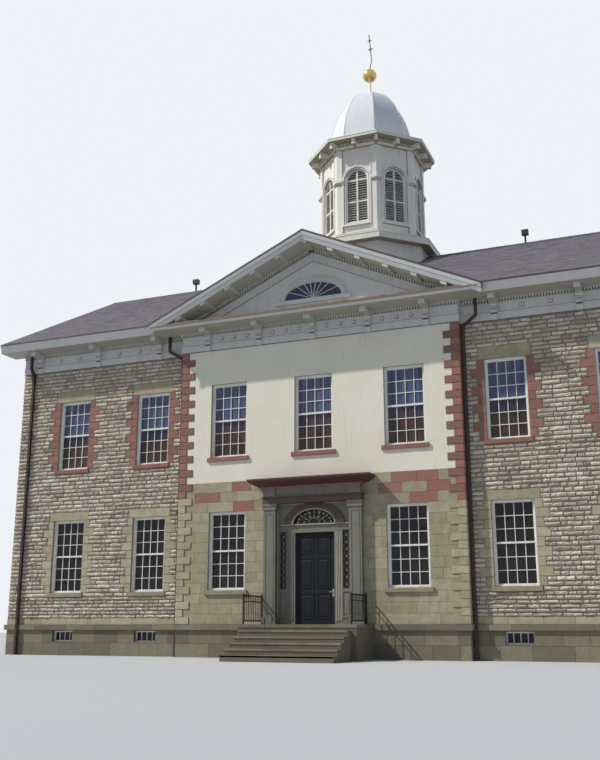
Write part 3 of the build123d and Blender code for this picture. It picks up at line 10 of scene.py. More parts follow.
import bpy
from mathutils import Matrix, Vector


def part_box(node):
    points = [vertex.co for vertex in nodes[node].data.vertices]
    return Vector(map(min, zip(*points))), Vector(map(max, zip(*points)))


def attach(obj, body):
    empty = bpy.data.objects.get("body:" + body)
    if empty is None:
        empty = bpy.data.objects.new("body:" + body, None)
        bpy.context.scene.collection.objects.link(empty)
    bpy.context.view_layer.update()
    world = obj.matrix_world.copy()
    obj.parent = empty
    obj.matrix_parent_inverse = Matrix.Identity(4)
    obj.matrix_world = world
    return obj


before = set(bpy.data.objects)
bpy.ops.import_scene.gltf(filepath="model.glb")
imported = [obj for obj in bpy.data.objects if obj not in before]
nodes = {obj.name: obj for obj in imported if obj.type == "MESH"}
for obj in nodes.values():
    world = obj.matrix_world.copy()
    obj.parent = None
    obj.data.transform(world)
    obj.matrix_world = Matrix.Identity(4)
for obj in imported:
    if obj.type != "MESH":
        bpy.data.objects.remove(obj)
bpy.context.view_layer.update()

# Camera, worked out from the building's own parallels in the photograph
CAMERA_PLACE = (11.482, -28.986, 1.05)
CAMERA_PITCH = 104.382
CAMERA_ROLL = 0.033
CAMERA_TURN = 22.436
CAMERA_LENS = 45.17
SENSOR = 36.0

# Light: a soft sun from the front left and an even sky
SUN_AZIMUTH = 62.5              # degrees to the left of the front
SUN_HEIGHT = 45.0
SUN_STRENGTH = 3.65
SUN_COLOUR = (1.0, 0.965, 0.90)
SUN_ANGLE = 1.2
SKY_LIGHT = 0.35
SKY_COLOUR = (0.62, 0.79, 1.0)
BACKGROUND = (0.86, 0.89, 0.93)
FLOOR_COLOUR = (0.50, 0.51, 0.53)
FLOOR_SIZE = 160.0

# Walls
STUCCO_FOOT = 5.76
STUCCO_PROUD = 0.012
RED_FOOT = 5.20                 # corner stones are red above, buff below
RED_FOOT_RIGHT = 4.70
BASE_COURSE_TOP = 1.27          # smooth course on the wings above the foundation
JAMB_LONG = 0.43
JAMB_SHORT = 0.24
BAND_HEIGHT = 0.288             # one jamb stone, two rows of rubble
RUBBLE_LENGTHS = (0.18, 0.62)
ASHLAR_COURSE = 0.325
ASHLAR_PROUD = 0.010
JOINT = 0.012
FINE_JOINT = 0.0015
WATER_TABLE = (0.18, 0.08)      # height and projection of the course over the foundation
LANDING_JOINTS = (-1.0, 0.1, 1.05)
STRAP_LEVELS = (1.6, 4.1, 6.6, 9.1)
PIPE_WIDTH = 0.095
CORNERS = ((0, 0), (1, 0), (1, 1), (0, 1))

# Windows
PANE_COLUMNS = 4
PANE_ROWS = 3                   # in each sash
MUNTIN = 0.021
MUNTIN_DEPTH = 0.030
STILE = 0.085
RAIL = 0.055
CASING_WIDTH = 0.050
CASING_PROUD = 0.045
LOWER_SASH = 5.2                # levels at which the glass's painted colour changes: painted shade of rooms, then painted sky reflection
UPPER_SASH = 7.52
SKY_REFLECTION_FOOT = 7.93
LUNETTE_FOOT = 11.5

# Cornices
DENTIL_FOOT = 11.082
DENTIL_PITCH = 0.092
DENTIL_WIDTH = 0.050
DENTIL_HEIGHT = 0.092
DENTIL_PROUD = 0.045
BUTTON_RADIUS = 0.062
BUTTON_LEVEL = 10.90
BUTTON_PITCH = (0.88, 0.5)      # wings and rear, centre
BRACKET_HALF = 0.125
BRACKET_GROOVES = ((10.655, 0.125, 0.045), (10.80, 0.165, 0.014), (10.84, 0.165, 0.014))
BLOCK_HALF = 0.095
BLOCK_PITCH = 0.96              # blocks of the sloping cornice
BOARD_LENGTH = 3.1              # between the joints of the frieze
FRIEZE_LINES = ((0.272, 0.286, (0.03, 0.040)), (0.001, 0.022, (0.05, 0.064)))
FIELD_FOOT = 11.62              # border of the pediment's field
EAVE_CROWN = ((11.29, 0.900), (11.203, 0.858))  # upper and lower (level, reach)
CENTRE_CROWN = ((11.285, 0.945), (11.203, 0.908))
CENTRE_CROWN_HALF = 5.98
RAKE_CROWNS = (((0.285, 0.998), (0.163, 0.972)), ((0.139, 0.962), (0.003, 0.908)))
FLASHING_HALF = 5.38
FLASHING_FOOT = 11.315

# Roofs
SHINGLE_EXPOSURE = 0.142
SHINGLE_OVERLAP = 1.2
SHINGLE_WIDTH = 0.30
SHINGLE_THICKNESS = 0.008
CAP_LENGTH = 0.28
ROOF_HALF = 12.75
WING_START = 6.0                # inner end of the wings' eaves
EAVE_TOP = 11.53                # main roof above its edge
PEDIMENT_EAVE = 11.4            # pediment roof above its edge
PEDIMENT_ROOF_END = 4.2         # how far back its shingles may reach
SEAM_HALF = 0.020               # seams of the dome
BALL_FOOT = 24.32
STARS = ((25.92, 0.06, 0.13), (26.36, 0.03, 0.10))  # level, lean of the rod, size

# Entrance
CASE = -0.05                    # face of the door case, out from the wall face
FAN_FOOT = 4.24
FAN_HALF = 0.73
FAN_RISE = 0.46
CANOPY_FOOT = 5.14
CANOPY_EDGE = 5.46
PILASTER_PLACE = 1.49
LATTICE_PITCH = 0.22
DOOR_PANELS = ((1.22, 2.02), (2.18, 3.14), (3.28, 3.83))


# Reading the frame
def solid_boxes(name):
    """Lowest and highest corner of each separate solid of a node."""
    mesh = nodes[name].data
    keys = [tuple(round(c, 4) for c in vertex.co) for vertex in mesh.vertices]
    parent = {key: key for key in keys}

    def root(key):
        while parent[key] != key:
            parent[key] = parent[parent[key]]
            key = parent[key]
        return key

    for polygon in mesh.polygons:
        first = root(keys[polygon.vertices[0]])
        for index in polygon.vertices[1:]:
            parent[root(keys[index])] = first
    groups = {}
    for key in parent:
        groups.setdefault(root(key), []).append(key)
    boxes = []
    for points in groups.values():
        low = tuple(min(p[axis] for p in points) for axis in range(3))
        high = tuple(max(p[axis] for p in points) for axis in range(3))
        boxes.append((low, high))
    return sorted(boxes)


class Face:
    """A wall face: u runs along it to the right as seen from outside, z up, d outward."""

    def __init__(self, x, y, outward):
        self.origin = (x, y)
        self.out = outward
        self.along = (-outward[1], outward[0])

    def point(self, u, z, d):
        x = self.origin[0] + u * self.along[0] + d * self.out[0]
        y = self.origin[1] + u * self.along[1] + d * self.out[1]
        return (x, y, z)

    def shift(self, d):
        return (d * self.out[0], d * self.out[1], 0.0)

    def span(self, box):
        """u, z and d ranges of a box."""
        low, high = box
        us, ds = [], []
        for x in (low[0], high[0]):
            for y in (low[1], high[1]):
                dx, dy = x - self.origin[0], y - self.origin[1]
                us.append(dx * self.along[0] + dy * self.along[1])
                ds.append(dx * self.out[0] + dy * self.out[1])
        return (min(us), max(us)), (low[2], high[2]), (min(ds), max(ds))


centre_low, centre_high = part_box("pavilion_wall_upper")
wing_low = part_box("right_wing_wall")[0]
rear_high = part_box("rear_wall")[1]
CENTRE_HALF = centre_high.x
BUILDING_HALF = rear_high.x
WING_FACE_Y = wing_low.y
REAR_FACE_Y = rear_high.y
DEPTH_HALF = (REAR_FACE_Y - WING_FACE_Y) / 2
RIDGE_Y = (WING_FACE_Y + REAR_FACE_Y) / 2
FLOOR_LEVEL = wing_low.z
FRIEZE_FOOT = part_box("pavilion_entablature")[0].z
WALL = 0.5
main_low, main_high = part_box("main_roof_front")
RIDGE_LEVEL = main_high.z
MAIN_RISE = (RIDGE_LEVEL - EAVE_TOP) / (RIDGE_Y - main_low.y)
ROOF_DEPTH = 0.08               # slope and a little air under it, measured upright

CENTRE = Face(0.0, centre_low.y, (0, -1))
WINGS = Face(0.0, WING_FACE_Y, (0, -1))
REAR = Face(0.0, REAR_FACE_Y, (0, 1))
LEFT = Face(-BUILDING_HALF, RIDGE_Y, (-1, 0))
RIGHT = Face(BUILDING_HALF, RIDGE_Y, (1, 0))
RETURNS = (Face(-CENTRE_HALF, 0.0, (-1, 0)), Face(CENTRE_HALF, 0.0, (1, 0)))
RETURN_SPANS = ((-WING_FACE_Y, 0.0), (0.0, WING_FACE_Y))
EAVES = (
    (WINGS, -ROOF_HALF, -WING_START),
    (WINGS, WING_START, ROOF_HALF),
    (REAR, -ROOF_HALF, ROOF_HALF),
)


def face_of(box):
    """The wall face on which a box lies."""
    x, y = [(low + high) / 2 for low, high in zip(*box)][:2]
    if abs(x) > BUILDING_HALF - WALL and WING_FACE_Y + WALL < y < REAR_FACE_Y - WALL:
        return LEFT if x < 0 else RIGHT
    if y > RIDGE_Y:
        return REAR
    return CENTRE if abs(x) < CENTRE_HALF else WINGS


# Ranges and lines
def around(middle, half):
    """The range that reaches a half width to both sides of a place."""
    return (middle - half, middle + half)


def inset(span, gap):
    """A range made shorter by a gap at both ends."""
    return (span[0] + gap, span[1] - gap)


def sided(side, near, far):
    """A range between two distances from the middle: left for side -1, right for side 1."""
    return sorted((side * near, side * far))


def divide(span, count):
    """The places that divide a range evenly, with both ends."""
    return [span[0] + (span[1] - span[0]) * step / count for step in range(count + 1)]


def arc(a, b, foot, count=24):
    """Half an ellipse of (u, z) points over a level."""
    turns = divide((0.0, math.pi), count)
    return [(a * math.cos(turn), foot + b * math.sin(turn)) for turn in turns]


# Building meshes
class Piece:
    """One joined mesh in the making. Each face carries a tint from 0 to 1."""

    def __init__(self):
        self.points = []
        self.faces = []
        self.tints = []

    def add(self, points, faces, tint=0.5):
        start = len(self.points)
        self.points += points
        self.faces += [tuple(start + index for index in face) for face in faces]
        self.tints += [tint] * len(faces)

    def box(self, low, high, tint=0.5):
        xs, ys, zs = zip(low, high)
        corners = [(x, y, z) for z in zs for y in ys for x in xs]
        sides = [(0, 2, 3, 1), (4, 5, 7, 6), (0, 1, 5, 4), (2, 6, 7, 3), (0, 4, 6, 2), (1, 3, 7, 5)]
        self.add(corners, sides, tint)

    def face_box(self, face, us, zs, ds, tint=0.5):
        """A box on a wall face between ranges of u, z and d."""
        self.panel(face, [(us[i], zs[j]) for i, j in CORNERS], ds, tint)

    def border(self, face, us, zs, rim, ds):
        """Four strips just inside a rectangle."""
        for strip in ((us[0], us[0] + rim), (us[1] - rim, us[1])):
            self.face_box(face, strip, zs, ds)
        for strip in ((zs[0], zs[0] + rim), (zs[1] - rim, zs[1])):
            self.face_box(face, inset(us, rim), strip, ds)

    def prism(self, outline, shift, tint=0.5):
        """A closed outline pulled along a shift."""
        count = len(outline)
        far = [tuple(a + b for a, b in zip(point, shift)) for point in outline]
        sides = [(i, (i + 1) % count, (i + 1) % count + count, i + count) for i in range(count)]
        caps = [tuple(reversed(range(count))), tuple(range(count, 2 * count))]
        self.add(list(outline) + far, caps + sides, tint)

    def panel(self, face, outline, ds, tint=0.5):
        """An outline of (u, z) points on a wall face, between two distances out from it."""
        self.prism([face.point(u, z, ds[0]) for u, z in outline], face.shift(ds[1] - ds[0]), tint)

    def band(self, face, inner, outer, ds):
        """A strip between two open lines of (u, z) points on a wall face."""
        for (a, b), (c, d) in zip(pairwise(inner), pairwise(outer)):
            self.panel(face, [a, b, d, c], ds)

    def make(self, name, material, slot, body="building"):
        mesh = bpy.data.meshes.new(name)
        mesh.from_pydata(self.points, [], self.faces)
        tint = mesh.attributes.new("tint", "FLOAT", "FACE")
        tint.data.foreach_set("value", self.tints)
        mesh.materials.append(material)
        mesh.update()
        piece = bpy.data.objects.new(name, mesh)
        bpy.context.scene.collection.objects.link(piece)
        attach(piece, body)


def stone(piece, face, us, zs, back, proud, bevel, rough, tint, rng, cells=(3, 2), pillow=0.0, ragged=0.0):
    """One stone with a bevelled edge and an uneven face that may swell and have a ragged outline."""
    across, up = cells
    width, height = us[1] - us[0], zs[1] - zs[0]
    points = [face.point(us[i], zs[j], back) for i, j in CORNERS]
    for row in range(up + 1):
        for column in range(across + 1):
            u = us[0] + bevel + (width - 2 * bevel) * column / across
            z = zs[0] + bevel + (height - 2 * bevel) * row / up
            d = proud + rng.uniform(-rough, rough)
            if 0 < row < up:
                z += rng.uniform(-0.15, 0.15) * height / up
                d += pillow * rng.uniform(0.5, 1.3)
            if 0 < column < across:
                u += rng.uniform(-0.2, 0.2) * width / across
            if ragged:
                u += rng.uniform(-ragged, ragged)
                z += rng.uniform(-ragged, ragged)
            points.append(face.point(u, z, d))
    first, step = len(CORNERS), across + 1
    rows = [[first + row * step + column for column in range(step)] for row in range(up + 1)]
    faces = []
    for low, high in pairwise(rows):
        faces += [(low[i], low[i + 1], high[i + 1], high[i]) for i in range(across)]
    faces.append((0, 1, *reversed(rows[0])))
    faces.append((2, 3, *rows[-1]))
    faces.append((3, 0, *[row[0] for row in rows]))
    faces.append((1, 2, *[row[-1] for row in reversed(rows)]))
    piece.add(points, faces, tint)


# Node graphs
def add_node(tree, kind, inputs=None, **settings):
    node = tree.nodes.new(kind)
    for key, value in settings.items():
        setattr(node, key, value)
    for key, value in (inputs or {}).items():
        if isinstance(value, bpy.types.NodeSocket):
            tree.links.new(value, node.inputs[key])
        else:
            node.inputs[key].default_value = value
    return node


def object_place(tree):
    return add_node(tree, "ShaderNodeTexCoord").outputs["Object"]


def stretched(tree, scale):
    """Object coordinates, scaled differently along each axis."""
    inputs = {"Vector": object_place(tree), "Scale": scale}
    return add_node(tree, "ShaderNodeMapping", inputs).outputs["Vector"]


def noise(tree, scale, detail=3.0, rough=0.55, vector=None):
    vector = vector or object_place(tree)
    inputs = {"Vector": vector, "Scale": scale, "Detail": detail, "Roughness": rough}
    return add_node(tree, "ShaderNodeTexNoise", inputs).outputs["Fac"]


def ramp(tree, factor, stops):
    """Linear colours along a factor: stops are (place, (r, g, b))."""
    node = add_node(tree, "ShaderNodeValToRGB", {"Fac": factor})
    band = node.color_ramp
    while len(band.elements) < len(stops):
        band.elements.new(0.5)
    for element, (place, colour) in zip(band.elements, stops):
        element.position = place
        element.color = (*colour, 1.0)
    return node.outputs["Color"]


def grey_ramp(tree, factor, low, high, dark=0.0, light=1.0):
    return ramp(tree, factor, [(low, (dark,) * 3), (high, (light,) * 3)])


def screen_ramp(tree, factor, *stops):
    """A ramp whose colours are given as the screen shows them, 0 to 255."""
    return ramp(tree, factor, [(place, linear(*colour)) for place, colour in stops])


def mix(tree, factor, first, second, blend="MIX"):
    """Mix two colours: each is another node's output or screen values, 0 to 255."""
    node = add_node(tree, "ShaderNodeMix", data_type="RGBA", blend_type=blend)
    for socket, value in (("Factor", factor), ("A", first), ("B", second)):
        target = next(s for s in node.inputs if s.name == socket and s.enabled)
        if isinstance(value, bpy.types.NodeSocket):
            tree.links.new(value, target)
        else:
            target.default_value = value if socket == "Factor" else (*linear(*value), 1.0)
    return next(s for s in node.outputs if s.name == "Result" and s.enabled)


def math_node(tree, operation, first, second=0.0):
    return add_node(tree, "ShaderNodeMath", {0: first, 1: second}, operation=operation).outputs[0]


def coat(tree, shader, base, height, strength, distance):
    """Give a shader its colour and its bump."""
    tree.links.new(base, shader.inputs["Base Color"])
    inputs = {"Height": height, "Strength": strength, "Distance": distance}
    bump = add_node(tree, "ShaderNodeBump", inputs)
    tree.links.new(bump.outputs["Normal"], shader.inputs["Normal"])


def surface(name, roughness, metallic=0.0):
    """A new material: its tree and its main shader."""
    material = bpy.data.materials.new(name)
    material.use_nodes = True
    shader = material.node_tree.nodes["Principled BSDF"]
    shader.inputs["Roughness"].default_value = roughness
    shader.inputs["Metallic"].default_value = metallic
    return material, material.node_tree, shader


def linear(red, green, sky_reflection):
    """A colour given as 0 to 255 on the screen, made linear."""
    parts = []
    for value in (red, green, sky_reflection):
        share = value / 255
        parts.append(share / 12.92 if share <= 0.04045 else ((share + 0.055) / 1.055) ** 2.4)
    return tuple(parts)


# Materials
def part_above(tree, vector, operation, level):
    """Whether the upright part of a vector is past a level."""
    axes = add_node(tree, "ShaderNodeSeparateXYZ", {"Vector": vector})
    return math_node(tree, operation, axes.outputs["Z"], level)


def by_height(tree, stops):
    """Colours that change with height: [first, (level, next), ...], each from its level up."""
    base = stops[0]
    for level, colour in stops[1:]:
        base = mix(tree, part_above(tree, object_place(tree), "GREATER_THAN", level), base, colour)
    return base


def palette_ramp(tree, palette):
    tint = add_node(tree, "ShaderNodeAttribute", attribute_name="tint").outputs["Fac"]
    last = len(palette) - 1
    return screen_ramp(tree, tint, *[(index / last, colour) for index, colour in enumerate(palette)])


def stone_material(name, palette, grain=28.0, depth=0.005, levels=None):
    """Cut or broken stone, coloured from the palette by each stone's tint, or by height."""
    material, tree, shader = surface(name, 0.9)
    base = by_height(tree, levels) if levels else palette_ramp(tree, palette)
    clouds = noise(tree, 3.5, 4.0)
    coarse = noise(tree, grain, 5.0, 0.65)
    aged = mix(tree, 0.35, base, (96, 86, 74))
    base = mix(tree, grey_ramp(tree, clouds, 0.35, 0.75), base, aged)
    speckle = grey_ramp(tree, coarse, 0.30, 0.70, 0.80, 1.12)
    base = mix(tree, 1.0, base, speckle, "MULTIPLY")
    height = mix(tree, 0.5, coarse, noise(tree, grain * 0.45, 6.0, 0.7))
    coat(tree, shader, base, height, 0.9, depth)
    return material


def mortar_material():
    material, tree, shader = surface("mortar", 0.95)
    base = screen_ramp(tree, noise(tree, 6.0), (0.3, (132, 123, 110)), (0.7, (156, 146, 131)))
    coat(tree, shader, base, noise(tree, 60.0), 0.6, 0.004)
    return material


def stucco_material():
    material, tree, shader = surface("stucco", 0.88)
    clouds = noise(tree, 0.7, 5.0, 0.6)
    base = screen_ramp(tree, clouds, (0.30, (226, 219, 200)), (0.70, (235, 229, 212)))
    streaks = noise(tree, 1.0, 4.0, 0.6, stretched(tree, (5.0, 5.0, 0.5)))
    base = mix(tree, grey_ramp(tree, streaks, 0.56, 0.80, 0.0, 0.35), base, (184, 176, 158))
    coat(tree, shader, base, noise(tree, 55.0, 5.0, 0.6), 0.35, 0.004)
    return material


def paint_material(name, colour, dirt, roughness=0.5, bare=None, soiling=1.0, under=None, gloss=0.5):
    """Weathered paint: dirt clouds, streaks and, where given, flaked spots and painted shade on undersides.
    """
    material, tree, shader = surface(name, roughness)
    shader.inputs["Specular IOR Level"].default_value = gloss
    if isinstance(colour, list):
        colour = by_height(tree, colour)
    # Faces turned down take the under colour: painted shade, tinted as by light bounced up from the ground
    if under:
        normal = add_node(tree, "ShaderNodeNewGeometry").outputs["Normal"]
        colour = mix(tree, part_above(tree, normal, "LESS_THAN", -0.5), colour, under)
    clouds = noise(tree, 1.6, 5.0, 0.6)
    streaks = noise(tree, 1.3, 5.0, 0.65, stretched(tree, (4.0, 4.0, 0.6)))
    soiled = mix(tree, grey_ramp(tree, streaks, 0.48, 0.78, 0.0, 0.7 * soiling), colour, dirt)
    base = mix(tree, grey_ramp(tree, clouds, 0.50, 0.85, 0.0, 0.5 * soiling), soiled, dirt)
    if bare:
        base = mix(tree, grey_ramp(tree, noise(tree, 5.0, 8.0, 0.75), 0.66, 0.69), base, bare)
    fleck = grey_ramp(tree, noise(tree, 42.0, 3.0), 0.35, 0.65, 0.93, 1.03)
    base = mix(tree, 1.0, base, fleck, "MULTIPLY")
    coat(tree, shader, base, noise(tree, 30.0, 4.0, 0.6), 0.3, 0.002)
    return material


def shingle_material(name, palette, clouded):
    material, tree, shader = surface(name, 0.93)
    granules = grey_ramp(tree, noise(tree, 160.0, 2.0, 0.7), 0.3, 0.7, 0.82, 1.14)
    base = mix(tree, 1.0, palette_ramp(tree, palette), granules, "MULTIPLY")
    clouds = noise(tree, 0.45, 4.0, 0.6)
    base = mix(tree, grey_ramp(tree, clouds, 0.45, 0.75, 0.0, 0.35), base, clouded)
    coat(tree, shader, base, noise(tree, 120.0, 3.0), 0.5, 0.003)
    return material


def glass_material():
    """Old window glass with painted shade of dark rooms below and a painted sky reflection above."""
    material, tree, shader = surface("window_glass", 0.04)
    shader.inputs["IOR"].default_value = 1.33
    sway = noise(tree, 1.1, 2.0)
    reflection_streaks = noise(tree, 9.0, 2.0, 0.5, stretched(tree, (1.6, 1.6, 0.04)))
    # Painted shade of dark rooms behind the lower windows, in browns behind the upper windows' lower sashes
    low = screen_ramp(tree, sway, (0.3, (22, 20, 22)), (0.7, (42, 37, 38)))
    brown = screen_ramp(tree, sway, (0.35, (54, 40, 38)), (0.7, (92, 68, 58)))
    dusk = screen_ramp(tree, sway, (0.35, (50, 44, 62)), (0.7, (78, 64, 80)))
    # Painted sky reflection, streaked, in the upper sashes, and a darker painted reflection in the lunette
    sky_reflection = screen_ramp(tree, reflection_streaks, (0.35, (58, 68, 96)), (0.65, (88, 98, 128)))
    navy = screen_ramp(tree, sway, (0.3, (38, 44, 74)), (0.7, (54, 62, 98)))
    stops = [low, (LOWER_SASH, brown), (UPPER_SASH, dusk), (SKY_REFLECTION_FOOT, sky_reflection), (LUNETTE_FOOT, navy)]
    base = by_height(tree, stops)
    coat(tree, shader, base, noise(tree, 5.0, 2.0), 0.12, 0.01)
    return material


def metal_material(name, colour, worn, roughness, metallic):
    material, tree, shader = surface(name, roughness, metallic)
    wear = noise(tree, 14.0, 5.0, 0.65)
    if isinstance(colour, list):
        colour = by_height(tree, colour)
    base = mix(tree, grey_ramp(tree, wear, 0.50, 0.72, 0.0, 0.8), colour, worn)
    spread = grey_ramp(tree, wear, 0.2, 0.9, roughness * 0.8, min(1.0, roughness * 1.4))
    tree.links.new(spread, shader.inputs["Roughness"])
    coat(tree, shader, base, noise(tree, 90.0, 3.0), 0.25, 0.001)
    return material


RUBBLE = stone_material(
    "rubble_stone",
    [(162, 149, 132), (194, 180, 161), (210, 196, 177), (224, 211, 193), (234, 224, 208)],
    grain=15.0,
    depth=0.045,
)
FOUNDATION = stone_material(
    "foundation_stone", [(112, 106, 90), (128, 121, 100), (142, 134, 112)], grain=22.0, depth=0.006
)
ASHLAR = stone_material(
    "ashlar",
    [(162, 152, 124), (172, 162, 134), (180, 171, 146), (162, 116, 104), (154, 104, 93)],
    grain=24.0,
    depth=0.004,
)
RED_STONE = stone_material(
    "red_sandstone", [(136, 98, 88), (148, 106, 96), (160, 112, 102), (166, 110, 101)], grain=30.0
)
BUFF_STONE = stone_material(
    "buff_sandstone", [(170, 160, 131), (182, 172, 143), (192, 182, 156)], grain=30.0
)
CORNER_STONE = stone_material("corner_stone", (), levels=[(140, 131, 108), (RED_FOOT, (118, 86, 78))])
SILL_STONE = stone_material("sill_stone", (), levels=[(158, 146, 124), (RED_FOOT, (150, 106, 94))])
MORTAR = mortar_material()
STUCCO = stucco_material()
# Its under colour is painted shade on soffits and undersides, warm as from ground bounce
CORNICE_PAINT = paint_material(
    "cornice_paint", (206, 205, 203), (166, 160, 146), soiling=0.45, under=(160, 157, 142)
)
# Dark paint for strips of painted shade: in dentil gaps, round buttons, in grooves and along mouldings
SHADE_PAINT = paint_material("painted_shade", (74, 72, 68), (56, 52, 46), soiling=0.5)
EDGE_METAL = paint_material("edge_metal", (62, 54, 54), (108, 80, 60), bare=(132, 84, 62))
FLASHING = paint_material("flashing", (132, 104, 84), (92, 70, 60), bare=(188, 172, 150))
# Its under colour is painted shade on undersides, olive as from ground bounce
CUPOLA_PAINT = paint_material(
    "cupola_paint",
    (238, 234, 224),
    (198, 190, 172),
    bare=(160, 146, 124),
    soiling=0.7,
    under=(150, 142, 112),
)
SLAT_PAINT = paint_material("slat_paint", (208, 206, 200), (142, 136, 128), soiling=0.6)
WINDOW_PAINT = paint_material("window_paint", (238, 237, 231), (196, 190, 177), roughness=0.4)
DOORCASE_PAINT = paint_material("doorcase_paint", (120, 118, 106), (86, 84, 78))
DOORCASE_TRIM = paint_material("doorcase_trim", (178, 172, 156), (130, 122, 106))
ARCH_PAINT = paint_material("arch_paint", (70, 48, 45), (52, 40, 39))
CANOPY_PAINT = paint_material(
    "canopy_paint",
    [(76, 56, 54), (CANOPY_FOOT, (122, 112, 102)), (CANOPY_EDGE, (84, 44, 42))],
    (64, 44, 42),
    roughness=0.55,
    soiling=0.7,
)
DOOR_PAINT = paint_material("door_paint", (26, 30, 38), (20, 22, 27), roughness=0.6, gloss=0.2)
DOME_METAL = paint_material(
    "dome_metal",
    (226, 228, 232),
    (196, 198, 202),
    roughness=0.55,
    bare=(184, 176, 172),
    soiling=0.5,
    gloss=0.2,
)
SHINGLES = shingle_material(
    "roof_shingles", [(98, 92, 98), (116, 109, 117), (132, 125, 133)], (94, 92, 104)
)
RIDGE_SHINGLES = shingle_material("ridge_shingles", [(52, 54, 66), (64, 66, 78)], (46, 50, 64))
GLASS = glass_material()
GOLD = metal_material(
    "gilding", [(214, 208, 190), (BALL_FOOT, (206, 176, 104))], (150, 122, 66), 0.28, 0.8
)
IRON = metal_material("railing_iron", (34, 34, 36), (70, 56, 48), 0.5, 0.6)
STEEL = metal_material("hardware", (176, 170, 160), (120, 112, 100), 0.35, 0.9)
ROD_METAL = metal_material("rod_metal", (92, 88, 86), (70, 60, 54), 0.5, 0.7)
PIPE_PAINT = metal_material("pipe_paint", (50, 38, 38), (84, 62, 52), 0.5, 0.3)
LAMP_PAINT = metal_material("lamp_paint", (40, 38, 38), (82, 66, 56), 0.5, 0.3)
FLOOR_BOARDS = paint_material("floor_boards", (120, 96, 72), (84, 66, 50), roughness=0.7)

MATERIAL_NODES = (
    (FOUNDATION, ("foundation", "landing", "front_steps")),
    (FLOOR_BOARDS, ("ground_floor", "upper_floor", "attic_floor")),
    (MORTAR, ("pavilion_wall_left", "pavilion_wall_right", "pavilion_wall_upper", "left_wing_wall")),
    (MORTAR, ("right_wing_wall", "rear_wall", "left_end_wall", "right_end_wall")),
    (CORNER_STONE, ("corner_quoins",)),
    (SILL_STONE, ("window_sills",)),
    (BUFF_STONE, ("window_lintels",)),
    (WINDOW_PAINT, ("window_frames",)),
    (GLASS, ("window_glass", "door_glass")),
    (CORNICE_PAINT, ("pavilion_entablature", "eave_entablatures", "eave_brackets", "tympanum")),
    (CORNICE_PAINT, ("lunette_frame", "raking_cornice", "verge_boards")),
    (SHINGLES, ("pediment_roof", "main_roof_front", "main_roof_rear")),
    (CUPOLA_PAINT, ("cupola_base", "cupola_ledge", "cupola_drum", "cupola_cornice")),
    (SLAT_PAINT, ("cupola_louvres",)),
    (DOME_METAL, ("cupola_dome",)),
    (GOLD, ("finial",)),
    (ROD_METAL, ("lightning_rod",)),
    (DOORCASE_PAINT, ("door_frame", "door_pilasters")),
    (CANOPY_PAINT, ("door_canopy",)),
    (DOOR_PAINT, ("front_door",)),
    (STEEL, ("door_hinges", "door_handle")),
    (IRON, ("railings",)),
    (PIPE_PAINT, ("downspouts",)),
    (LAMP_PAINT, ("roof_lamps",)),
)
for material, names in MATERIAL_NODES:
    for name in names:
        slots = nodes[name].data.materials
        slots.clear()
        slots.append(material)


# Windows of every wall, read from the frames
class Window:
    def __init__(self, box):
        self.face = face_of(box)
        self.us, self.zs, self.ds = self.face.span(box)
        self.upper = self.zs[0] > STUCCO_FOOT
        self.basement = self.zs[1] < FLOOR_LEVEL


all_windows = [Window(box) for box in solid_boxes("window_frames")]


def window_holes(face, basement=False):
    """u and z ranges of the windows of one wall face."""
    return [(w.us, w.zs) for w in all_windows if w.face is face and w.basement == basement]


def dressings(name, face):
    """u, z and d ranges of the sills or lintels on one wall face."""
    return [face.span(box) for box in solid_boxes(name) if face_of(box) is face]


# Stonework of the wings, the ends and the rear
def wall_levels(face, top):
    """Bed levels that line up with sills, jambs and lintels."""
    marks = [BASE_COURSE_TOP, top]
    for _, zs in window_holes(face):
        marks += zs
    for name in ("window_sills", "window_lintels"):
        for _, zs, _ in dressings(name, face):
            marks += zs
    marks = sorted({round(mark, 3) for mark in marks if BASE_COURSE_TOP <= mark <= top})
    clean = [marks[0]]
    for mark in marks[1:]:
        if mark - clean[-1] > 0.02:
            clean.append(mark)
    levels = [clean[0]]
    for low, high in pairwise(clean):
        levels += divide((low, high), max(1, round((high - low) / BAND_HEIGHT)))[1:]
    return levels


def cut_out(stretches, hole, least=0.05):
    """Take a range out of a list of ranges."""
    kept = []
    for low, high in stretches:
        if hole[1] <= low or hole[0] >= high:
            kept.append((low, high))
            continue
        if hole[0] > low:
            kept.append((low, hole[0]))
        if hole[1] < high:
            kept.append((hole[1], high))
    return [(low, high) for low, high in kept if high - low > least]


def lay_rubble(piece, face, us, zs, rng):
    """Rough stones in rows between two beds, finer on the front."""
    cells = (5, 3) if face is WINGS else (3, 2)
    rows = max(1, round((zs[1] - zs[0]) / (BAND_HEIGHT / 2)))
    for low, high in pairwise(divide(zs, rows)):
        place = us[0]
        while place < us[1] - 0.01:
            stop = place + rng.uniform(*RUBBLE_LENGTHS)
            if us[1] - stop < 0.15:
                stop = us[1]
            gap = JOINT * rng.uniform(0.4, 1.0)
            bed = (low + gap, high - gap - rng.uniform(0.0, 0.012))
            proud = rng.uniform(0.008, 0.022)
            tint = rng.betavariate(2.2, 2.0)
            pillow = rng.uniform(0.014, 0.042)
            ends = inset((place, stop), gap)
            stone(piece, face, ends, bed, -0.02, proud, 0.017, 0.014, tint, rng, cells, pillow, 0.010)
            place = stop


